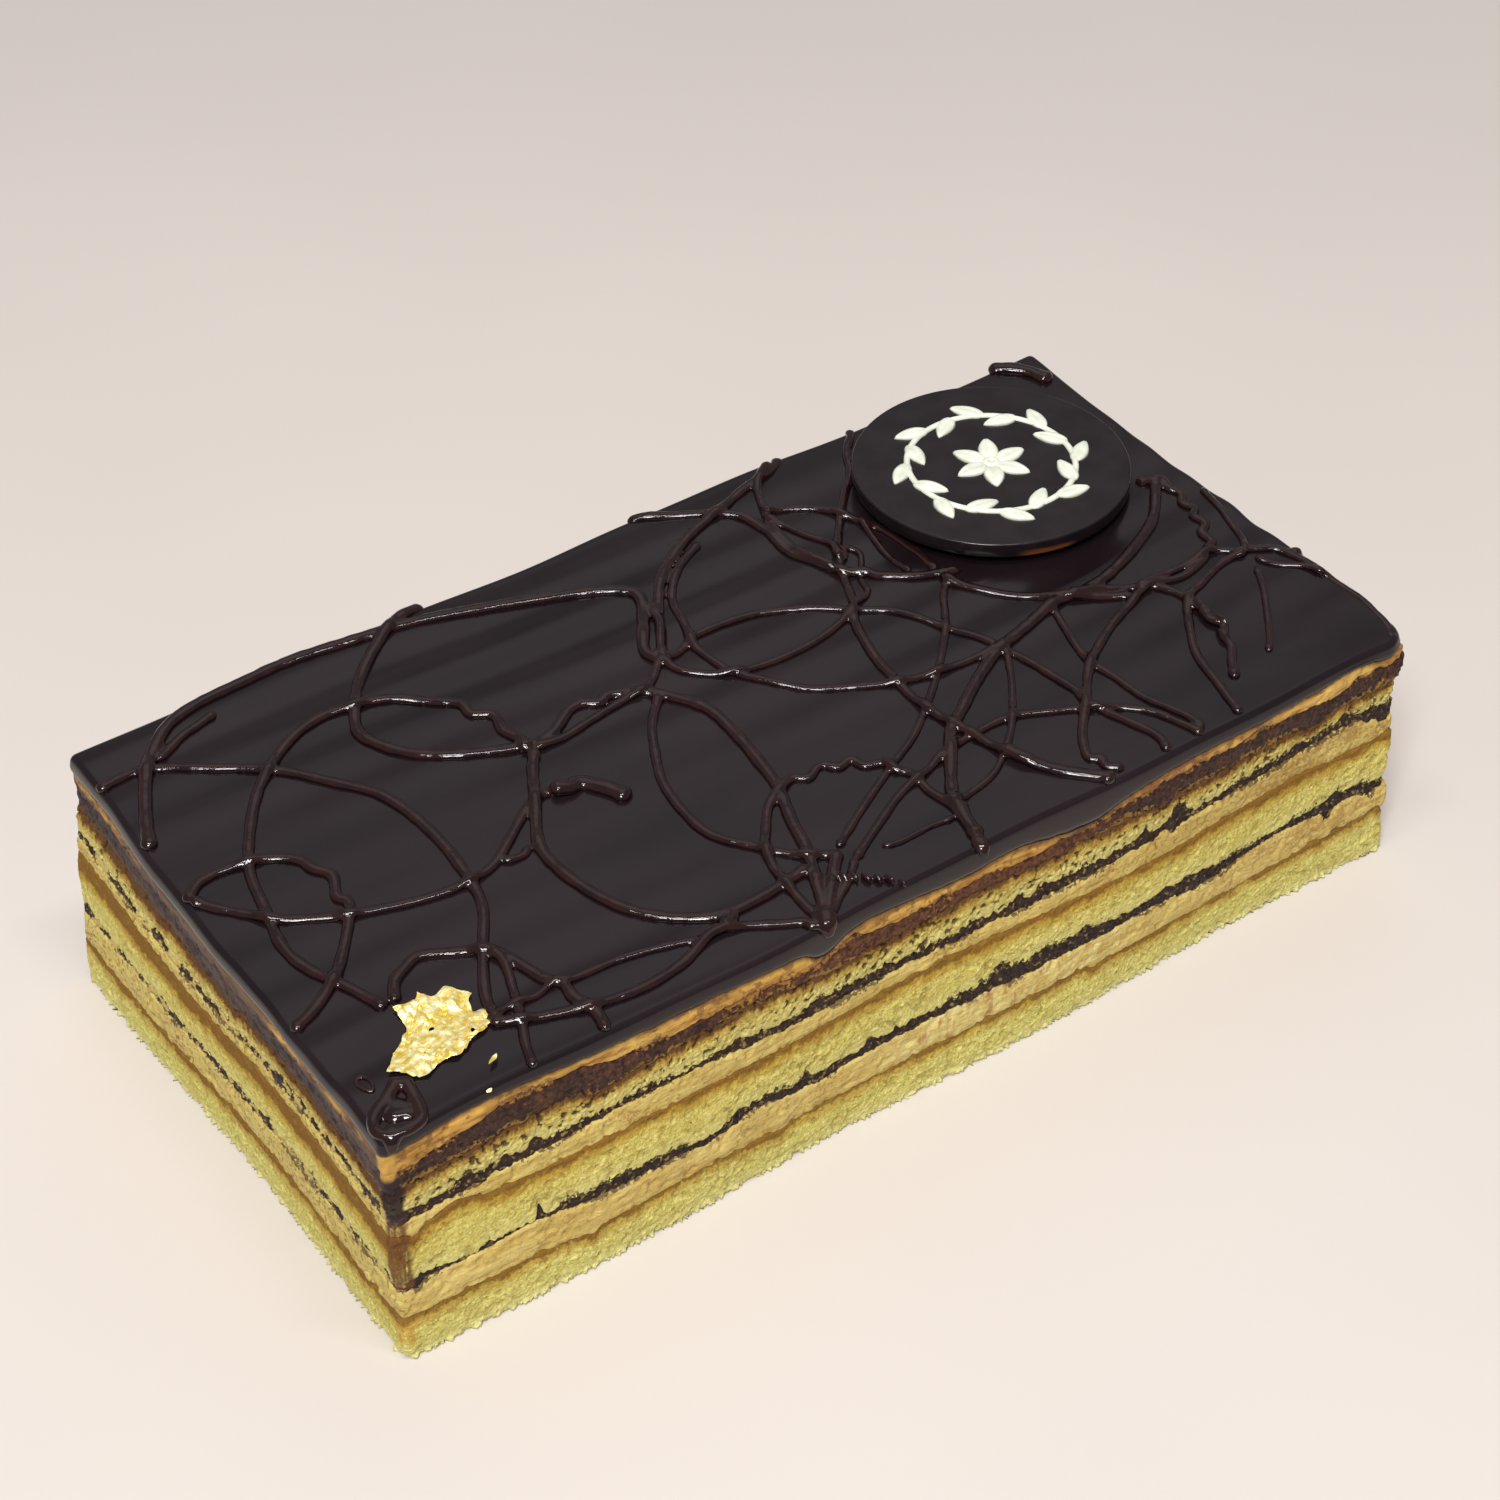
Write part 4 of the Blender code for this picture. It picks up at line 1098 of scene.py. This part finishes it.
def build_gold(finish):
    rng = np.random.default_rng(11)
    rims = [ragged(GOLD_OUTLINE, 0.45, 0.09, rng)]
    for x, y, half_length, half_width, turn in GOLD_FLECKS:
        angles = 2 * math.pi * np.arange(9) / 9
        flat = np.stack([half_length * np.cos(angles), half_width * np.sin(angles)], 1)
        turn = math.radians(turn)
        spin = np.array([[math.cos(turn), math.sin(turn)], [-math.sin(turn), math.cos(turn)]])
        rims.append(flat @ spin + (x, y) + rng.normal(0.0, 0.07, flat.shape))
    holes = []
    for x, y, radius in GOLD_HOLES:
        angles = 2 * math.pi * np.arange(8) / 8
        reach = radius * rng.uniform(0.6, 1.2, 8)
        holes.append(np.stack([x + reach * np.cos(angles), y + reach * np.sin(angles)], 1))
    corners, edges = [], []
    for loop in rims + holes:
        start = len(corners)
        corners += [Vector(point) for point in loop]
        edges += [(start + i, start + (i + 1) % len(loop)) for i in range(len(loop))]
    low = np.min(np.vstack(rims), 0)
    high = np.max(np.vstack(rims), 0)
    spots = np.stack(np.meshgrid(np.arange(low[0], high[0], GOLD_GRID),
                                 np.arange(low[1], high[1], GOLD_GRID)), -1).reshape(-1, 2)
    spots += rng.uniform(-0.12, 0.12, spots.shape)

    def kept(points):
        keep = np.zeros(len(points), bool)
        for rim in rims:
            keep |= inside_outline(points, rim)
        for hole in holes:
            keep &= ~inside_outline(points, hole)
        return keep

    corners += [Vector(point) for point in spots[kept(spots)]]
    flat, _, triangles, *_ = geometry.delaunay_2d_cdt(corners, edges, [], 0, 1e-4)
    flat = np.array(flat)
    triangles = np.array(triangles)
    triangles = triangles[kept(flat[triangles].mean(1))]
    height = glaze_height(flat[:, 0], flat[:, 1])
    height += [crumple(x, y) for x, y in flat]
    mesh = mesh_from("gold_leaf", np.column_stack([flat, height]), triangles.tolist())
    shape = bmesh.new()
    shape.from_mesh(mesh)
    bmesh.ops.delete(shape, geom=[v for v in shape.verts if not v.link_faces], context="VERTS")
    bmesh.ops.recalc_face_normals(shape, faces=shape.faces)
    shape.to_mesh(mesh)
    shape.free()
    mesh.materials.append(finish)
    piece = add_object("gold_leaf" + DRESSED, mesh)
    thick = piece.modifiers.new("thickness", "SOLIDIFY")
    thick.thickness = GOLD_THICKNESS * MM
    thick.offset = 0.0
    return piece


# ------------------------------------------------------------------ finishes

def near(wire, centre, reach):
    """1 at a place, falling to 0 at that reach from it."""
    return (wire - centre).math("ABSOLUTE").ramp(reach, 0.0)


# One sponge's colours and how its syrup soaked in: crumb tips (a painted highlight), body and
# gaps (painted shade), its pores (painted shade in the pits) and their share, soaked gold and
# brown, how deep each reaches down from the roof and how much deeper at the left end.
Crumb = namedtuple("Crumb", "tip body gap pore pores gold gold_depth brown brown_depth left_depth")


def bleed(made, colour, distance, reach, dark, share=0.9):
    """Crumbs of the next layer pressed in along an edge, thinning out with distance."""
    specks = made.grain(0.8, 3.0, 0.65)
    distance = distance + made.grain(9.0, 1.0).ramp(0.36, 0.64, 1.5, -0.3)
    amount = distance.ramp(reach, 0.0, -0.08, 0.2)
    return made.mix((specks + amount).ramp(0.6, 0.66, 0.0, share), colour, paint(*dark))


def knife_marks(made, colour):
    """What the knife left on the sides: a dark drag down the front left corner."""
    wander = (made.grain(3.0, 2.0) - 0.5) * 1.8
    corner = (made.x + wander).ramp(-96.4, -97.4) * made.y.ramp(-48.8, -50.2)
    drag = made.grain(0.9, 2.0, 0.6, squash=(1.0, 1.0, 0.12))
    purple = corner * made.z.ramp(29.0, 33.0) * made.z.ramp(44.0, 41.5) * drag.ramp(0.15, 0.4)
    brown = corner * made.z.ramp(14.5, 18.0) * made.z.ramp(34.0, 30.0) * drag.ramp(0.2, 0.5)
    orange = corner * made.z.ramp(2.0, 5.0) * made.z.ramp(10.0, 7.0) * drag.ramp(0.3, 0.6)
    patch = (made.x + wander).ramp(-97.0, -97.8) * made.y.ramp(-49.6, -50.4) * made.z.ramp(40.6, 42.0)
    colour = made.mix(orange * 0.8, colour, paint(190, 146, 62))
    colour = made.mix(brown * 0.9, colour, paint(104, 66, 38))
    colour = made.mix(purple * 0.95, colour, paint(46, 33, 38))
    return made.mix(patch * drag.ramp(0.2, 0.45, 0.4, 0.9), colour, paint(196, 152, 72))


def left_film(made, colour, low, high, share=1.0):
    """The thin grey-purple film of glaze that ran down the left end, browner towards its top."""
    streaks = made.grain(2.4, 3.0, 0.6, squash=(1.0, 0.12, 1.0))
    grey = made.mix(streaks.ramp(0.35, 0.65), paint(48, 39, 43), paint(80, 63, 56))
    grey = made.mix(made.z.ramp(43.0, 46.5, 0.0, 0.75) * streaks.ramp(0.35, 0.6), grey, paint(124, 92, 60))
    edge = made.z + (made.grain(2.2, 3.0) - 0.5) * 3.0
    film = made.x.ramp(-98.2, -99.0) * edge.ramp(low, high) * share
    return made.mix(film, colour, grey)


def left_end(made):
    return made.x.ramp(-98.0, -98.8)


def sponge_finish(name, crumb, floor_bleed=True):
    """Open crumb that turns golden and brown where syrup soaked down from its top.

    Its raised crumbs are painted lighter as highlights, and its gaps and pores darker as painted shade.
    """
    made = Finish(name, Roughness=0.8, Specular_IOR_Level=0.15)
    bumps = made.attribute("crumb")
    fine = made.grain(0.5, 3.0, 0.65)
    broad = made.grain(4.0, 2.0)
    patchy = made.grain(12.0, 1.0)
    # Painted highlight and shade: the crumb relief and fine grain paint raised crumb tips lighter and the gaps
    # between them darker.
    shading_relief = bumps * 0.6 + fine * 0.6
    colour = made.mix(shading_relief.ramp(0.3, 0.55), paint(*crumb.gap), paint(*crumb.body))
    colour = made.mix(shading_relief.ramp(0.5, 0.85), colour, paint(*crumb.tip))
    # More painted highlight and shade: fine specks that the bump raises take the tip colour, low ones the gap
    # colour.
    speck = made.grain(0.36, 2.0, 0.7)
    colour = made.mix(speck.ramp(0.55, 0.68, 0.0, 0.7), colour, paint(*crumb.tip))
    colour = made.mix(speck.ramp(0.44, 0.32, 0.0, 0.65), colour, paint(*crumb.gap))
    colour = made.mix(broad.ramp(0.5, 0.75, 0.0, 0.35), colour, paint(*crumb.gold))
    depth = made.attribute("under") + (broad - 0.5) * 2.4 + (patchy - 0.5) * 2.0 + (fine - 0.5) * 1.8
    depth = depth - left_end(made) * crumb.left_depth
    gold = crumb.gold_depth
    brown = crumb.brown_depth
    colour = made.mix(made.attribute("above").ramp(4.5, 0.8, 0.0, 0.4), colour, paint(218, 213, 146))
    colour = made.mix(depth.ramp(gold, 0.35 * gold), colour, paint(*crumb.gold))
    stains = made.grain(1.3, 3.0, 0.65).ramp(0.54, 0.66, 0.0, 0.6) * depth.ramp(1.7 * gold, 0.6 * gold)
    colour = made.mix(stains, colour, paint(150, 100, 34))
    colour = made.mix(depth.ramp(1.3 * brown, 0.6 * brown, 0.0, 0.9), colour, paint(*crumb.brown))
    # Painted shade in the pits of the pores.
    pores = made.attribute("pore").ramp(0.05, 0.6) * fine.ramp(0.2, 0.45)
    colour = made.mix(pores * crumb.pores, colour, paint(*crumb.pore))
    if floor_bleed:
        colour = bleed(made, colour, made.attribute("above"), 2.2, (46, 30, 26))
    else:
        # Painted highlight on the raised crumbs along the foot.
        foot_highlight = made.attribute("above").ramp(2.2, 0.0) * shading_relief.ramp(0.4, 0.7, 0.25, 0.9)
        colour = made.mix(foot_highlight, colour, paint(222, 217, 154))
    made.paint_sides = colour
    made.bump(fine * 0.3 + speck * 0.16)
    return made


def cream_finish(name, light, body, dark, fleck, flecks=0.4):
    """Butter cream dragged along by the knife, torn here and there and full of crumbs at the ends."""
    made = Finish(name, Roughness=0.55, Specular_IOR_Level=0.2)
    drag = made.grain(1.1, 3.0, 0.65, squash=(0.16, 0.16, 1.0))
    torn = made.grain(0.9, 3.0, 0.65)
    broad = made.grain(7.0, 2.0)
    right = made.x.ramp(48.0, 75.0)
    colour = made.mix(drag.ramp(0.38, 0.62), paint(*body), paint(*light))
    colour = made.mix(broad.ramp(0.45, 0.7, 0.0, 0.6), colour, paint(*body))
    mottled = torn + (broad - 0.5) * 0.4 + right * 0.1
    colour = made.mix(mottled.ramp(0.56, 0.68, 0.0, flecks), colour, paint(*fleck))
    colour = made.mix(drag.ramp(0.38, 0.28, 0.0, 0.6), colour, paint(*dark))
    left = left_end(made)
    colour = made.mix(left * made.grain(1.3, 3.0, 0.65).ramp(0.42, 0.5, 0.0, 0.75), colour,
                      paint(196, 180, 98))
    colour = made.mix(left * torn.ramp(0.54, 0.6, 0.0, 0.7), colour, paint(134, 98, 54))
    made.paint_sides = bleed(made, colour, made.attribute("under"), 1.2, (60, 40, 32), 0.8)
    made.bump(drag * 0.3 + torn * 0.3)
    return made


def pressed_lumps(made):
    """The lower cream's middle, in pale lumps with syrup run down between them."""
    share = made.x.ramp(-14.0, -4.0) * made.x.ramp(44.0, 33.0) * made.y.ramp(-48.5, -50.0)
    colour = made.mix(share * made.grain(2.4, 2.0).ramp(0.35, 0.6, 0.0, 0.85), made.paint_sides,
                      paint(212, 196, 128))
    runs = made.grain(1.8, 2.0, 0.6, squash=(1.0, 1.0, 0.28)).ramp(0.55, 0.66)
    runs = runs * made.grain(4.2, 2.0).ramp(0.4, 0.56) * share
    return made.mix(runs * 0.7, colour, paint(162, 108, 58))


def ganache_finish(name, body, lump_highlight, crumb, crumbs):
    """Dark ganache pressed with crumbs, its raised lumps painted lighter as a sheen."""
    made = Finish(name, Roughness=0.5, Specular_IOR_Level=0.2)
    lumps = made.grain(0.7, 3.0, 0.65)
    # Painted sheen: the lumps that the bump raises are painted lighter.
    colour = made.mix(lumps.ramp(0.4, 0.68), paint(*body), paint(*lump_highlight))
    specks = made.grain(1.0, 3.0, 0.6)
    colour = made.mix(specks.ramp(0.57, 0.64, 0.0, crumbs), colour, paint(*crumb))
    gaps = made.grain(3.4, 2.0, 0.5) + (specks - 0.5) * 0.5
    broken = left_end(made) * gaps.ramp(0.47, 0.53)
    made.paint_sides = made.mix(broken * 0.92, colour, paint(196, 172, 100))
    made.bump(lumps * 0.35)
    return made


def dark_band_finish():
    """The uppermost ganache, half soaked into the sponge under it and the cream above it."""
    made = Finish("soaked_ganache", Roughness=0.5, Specular_IOR_Level=0.15)
    fine = made.grain(0.8, 3.0, 0.65)
    broad = made.grain(5.0, 3.0, 0.6)
    brown = made.x.ramp(-50.0, -30.0) * made.x.ramp(40.0, 30.0)
    colour = made.mix(fine.ramp(0.35, 0.65), paint(40, 26, 25), paint(74, 49, 38))
    warm = made.mix(fine.ramp(0.35, 0.65), paint(62, 36, 25), paint(112, 70, 44))
    colour = made.mix(brown * 0.85, colour, warm)
    colour = made.mix(broad.ramp(0.48, 0.7, 0.0, 0.5), colour, warm)
    colour = bleed(made, colour, made.attribute("above"), 2.2, (146, 112, 48), 0.85)
    colour = bleed(made, colour, made.attribute("under"), 1.6, (160, 114, 50), 0.7)
    made.paint_sides = left_film(made, colour, 37.5, 39.5, 0.85)
    made.bump(fine * 0.35)
    return made


def top_cream_finish():
    """Coffee cream under the glaze, orange and mottled, with glaze drawn over it in places."""
    made = Finish("top_cream", Roughness=0.5, Specular_IOR_Level=0.2)
    drag = made.grain(1.6, 3.0, 0.6, squash=(0.2, 0.2, 1.0))
    spots = made.grain(1.5, 3.0, 0.6)
    broad = made.grain(9.0, 2.0)
    front = made.y.ramp(-48.0, -50.0)
    colour = made.mix(drag.ramp(0.35, 0.65), paint(160, 112, 44), paint(208, 164, 78))
    colour = made.mix((spots + (broad - 0.5) * 0.4).ramp(0.5, 0.62, 0.0, 0.75), colour, paint(118, 80, 42))
    colour = made.mix(drag.ramp(0.42, 0.3, 0.0, 0.7), colour, paint(110, 74, 40))
    film = near(made.x + (spots - 0.5) * 5.0, 30.0, 7.5) * front
    rusty = near(made.x + (spots - 0.5) * 6.0, 47.0, 16.0) * front
    pale = near(made.x + (spots - 0.5) * 6.0, -58.0, 14.0) + near(made.x, 80.0, 18.0)
    colour = made.mix(pale * front * drag.ramp(0.35, 0.55, 0.0, 0.8), colour, paint(212, 174, 94))
    colour = made.mix(rusty * spots.ramp(0.35, 0.55, 0.0, 0.8), colour, paint(136, 84, 44))
    colour = made.mix(film * 0.85, colour, paint(74, 56, 54))
    colour = bleed(made, colour, made.attribute("above"), 1.4, (84, 52, 38), 0.85)
    colour = made.mix(made.attribute("under").ramp(1.2, 0.1, 0.0, 0.75), colour, paint(84, 60, 46))
    golden = near(made.y + (broad - 0.5) * 16.0, -31.0, 20.0) + near(made.y + (spots - 0.5) * 6.0, 38.0, 17.0)
    golden = golden.ramp(0.05, 0.4) * made.z.ramp(44.2, 45.4) * drag.ramp(0.3, 0.45)
    made.paint_sides = left_film(made, colour, 37.0, 38.0, 1.0 - golden * 0.9)
    made.bump(drag * 0.25 + spots * 0.15)
    return made


def glaze_finish():
    """Nearly black mirror glaze, a little dull, with soft bands where the knife drew over it."""
    made = Finish("dark_glaze", Specular_IOR_Level=0.32)
    clouds = made.grain(14.0, 2.0, 0.5, squash=(0.35, 1.0, 1.0))
    made.colour(made.mix(clouds.ramp(0.3, 0.7), paint(20, 13, 16), paint(29, 20, 23)))
    made.roughness(clouds.ramp(0.3, 0.7, 0.14, 0.22))
    made.bump(made.grain(7.0, 2.0, 0.4, squash=(0.2, 1.0, 1.0)) * 0.12)
    return made


def drizzle_finish():
    made = Finish("poured_chocolate", Roughness=0.1, Specular_IOR_Level=0.45)
    clouds = made.grain(3.0, 2.0)
    made.colour(made.mix(clouds.ramp(0.3, 0.7), paint(24, 9, 11), paint(36, 16, 15)))
    made.bump(made.grain(0.9, 2.0) * 0.05)
    return made


def plaque_finish():
    """Moulded chocolate, with an orange-brown patch low on its wall at the front."""
    made = Finish("moulded_chocolate", Roughness=0.2, Specular_IOR_Level=0.34)
    colour = made.mix(made.grain(6.0).ramp(0.3, 0.7), paint(22, 16, 18), paint(30, 23, 25))
    low, high = box_mm("plaque")
    patch_streaks = made.grain(1.6, 2.0, 0.5, squash=(0.15, 0.15, 1.0))
    beside = near(made.x, low[0] + 19.0, 7.0).ramp(0.0, 0.6)
    lower = made.z + (patch_streaks - 0.5) * 1.6
    wall = lower.ramp(high[2] - 1.4, high[2] - 2.4) * made.y.ramp(low[1] + 8.0, low[1] + 5.0)
    made.colour(made.mix(beside * wall * 0.7, colour, paint(140, 78, 38)))
    return made


def relief_finish():
    made = Finish("white_chocolate", Roughness=0.4, Specular_IOR_Level=0.4)
    made.colour(made.mix(made.grain(2.5, 3.0).ramp(0.3, 0.7), paint(206, 210, 192), paint(226, 229, 214)))
    made.bump(made.grain(1.2, 2.0) * 0.06)
    return made


def gold_finish():
    made = Finish("leaf_gold", Metallic=0.6)
    crease = made.grain(1.4, 3.0, 0.6)
    # Gold tone varies over the creases, and the parts that the bump raises are painted near white as a
    # highlight.
    made.colour(made.mix(crease.ramp(0.35, 0.65), paint(242, 206, 82), paint(255, 247, 190)))
    made.roughness(crease.ramp(0.35, 0.65, 0.25, 0.42))
    made.bump(crease * 0.15)
    return made


# ------------------------------------------------------------------ floor, light and camera

CAMERA_PLACE = (-0.22001, -0.31974, 0.37582)
CAMERA_AZIMUTH = math.radians(-34.47)
CAMERA_ELEVATION = math.radians(41.12)
CAMERA_ROLL = math.radians(-0.40)
CAMERA_LENS = 73.42


def toward(azimuth, elevation):
    """Unit direction to a place; azimuth 0 is towards -Y and grows towards +X."""
    azimuth = math.radians(azimuth)
    elevation = math.radians(elevation)
    flat = math.cos(elevation)
    return Vector((math.sin(azimuth) * flat, -math.cos(azimuth) * flat, math.sin(elevation)))


def build_floor():
    made = Finish("pale_floor", Roughness=0.8, Specular_IOR_Level=0.2)
    made.colour(made.mix(made.grain(160.0).ramp(0.3, 0.7), paint(202, 194, 188), paint(205, 197, 191)))
    mesh = mesh_from("floor", [(-4000, -4000, -0.05), (4000, -4000, -0.05), (4000, 4000, -0.05),
                               (-4000, 4000, -0.05)], [(0, 1, 2, 3)])
    mesh.materials.append(made.material)
    add_object("floor", mesh)


def build_lights():
    def panel(name, azimuth, elevation, distance, size, power, colour=(1.0, 1.0, 1.0)):
        lamp = bpy.data.lights.new(name, "AREA")
        lamp.shape = "RECTANGLE"
        lamp.size, lamp.size_y = size
        lamp.energy = power
        lamp.color = colour
        holder = bpy.data.objects.new(name, lamp)
        scene.collection.objects.link(holder)
        direction = toward(azimuth, elevation)
        holder.location = direction * distance + Vector((0.0, 0.0, 0.03))
        holder.rotation_euler = direction.to_track_quat("Z", "Y").to_euler()

    panel("key", -44.0, 52.0, 1.5, (0.4, 0.4), 20.5, (1.0, 0.985, 0.96))
    panel("overhead", -32.0, 76.0, 1.1, (0.7, 0.06), 5.5)

    world = bpy.data.worlds.new("studio")
    world.use_nodes = True
    sky = world.node_tree.nodes["Background"]
    sky.inputs["Color"].default_value = (1.0, 0.975, 0.985, 1.0)
    direction = node(world.node_tree, "ShaderNodeTexCoord", output="Generated")
    brightest = tuple(toward(180.0 + math.degrees(CAMERA_AZIMUTH), 60.0))
    facing = direction.vector("DOT_PRODUCT", brightest, output="Value")
    plug(world.node_tree, facing.ramp(0.86, 1.0, 0.26, 0.85), sky.inputs["Strength"])
    scene.world = world
    scene.view_settings.view_transform = "Standard"


def build_camera():
    lens = bpy.data.cameras.new("view")
    lens.lens = CAMERA_LENS
    lens.sensor_width = 36.0
    lens.clip_start = 0.01
    lens.clip_end = 20.0
    camera = bpy.data.objects.new("view", lens)
    back = toward(math.degrees(CAMERA_AZIMUTH), math.degrees(CAMERA_ELEVATION))
    level = Vector((math.cos(CAMERA_AZIMUTH), math.sin(CAMERA_AZIMUTH), 0.0))
    upright = back.cross(level)
    right = math.cos(CAMERA_ROLL) * level + math.sin(CAMERA_ROLL) * upright
    up = back.cross(right)
    camera.matrix_world = Matrix((
        (right.x, up.x, back.x, CAMERA_PLACE[0]),
        (right.y, up.y, back.y, CAMERA_PLACE[1]),
        (right.z, up.z, back.z, CAMERA_PLACE[2]),
        (0.0, 0.0, 0.0, 1.0),
    ))
    scene.collection.objects.link(camera)
    scene.camera = camera


# ------------------------------------------------------------------ the cake

dressed = {
    "sponge_bottom": sponge_finish("bottom_sponge", Crumb(
        (224, 217, 140), (202, 192, 103), (164, 150, 64), (150, 134, 58), 0.3,
        (180, 152, 68), 3.4, (122, 87, 35), 1.0, 0.8), floor_bleed=False),
    "sponge_middle": sponge_finish("middle_sponge", Crumb(
        (226, 216, 136), (205, 191, 99), (166, 148, 60), (140, 118, 48), 0.35,
        (178, 146, 56), 4.4, (122, 84, 34), 1.5, 2.2)),
    "sponge_top": sponge_finish("top_sponge", Crumb(
        (216, 201, 118), (192, 173, 87), (136, 112, 54), (62, 40, 26), 0.85,
        (156, 122, 50), 3.0, (86, 56, 34), 1.2, 1.0)),
    "cream_lower": cream_finish("lower_cream", (208, 185, 112), (190, 163, 88), (150, 110, 60),
                                (150, 108, 58), 0.5),
    "cream_middle": cream_finish("middle_cream", (206, 184, 108), (186, 158, 84), (146, 106, 52),
                                 (146, 104, 54), 0.6),
    "cream_top": top_cream_finish(),
    "ganache_lower": ganache_finish("lower_ganache", (34, 22, 20), (58, 40, 36), (172, 148, 86), 0.5),
    "ganache_middle": ganache_finish("middle_ganache", (36, 22, 18), (62, 42, 32), (164, 136, 76), 0.65),
    "ganache_top": dark_band_finish(),
}
dressed["cream_lower"].paint_sides = pressed_lumps(dressed["cream_lower"])
for made in dressed.values():
    made.colour(knife_marks(made, made.paint_sides))
finishes = {label: made.material for label, made in dressed.items()}

pieces = build_layers(finishes)
pieces.append(build_glaze(glaze_finish().material))
drizzle = melt(build_drizzle(drizzle_finish().material), VOXEL, 2, 190000)
pieces.append(build_plaque(plaque_finish().material))
pieces += build_ornament(relief_finish().material)
pieces.append(build_gold(gold_finish().material))

for piece in (*pieces, drizzle):
    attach(piece, "root")
for piece in pieces:
    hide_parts(piece.name.removesuffix(DRESSED))

build_floor()
build_lights()
build_camera()
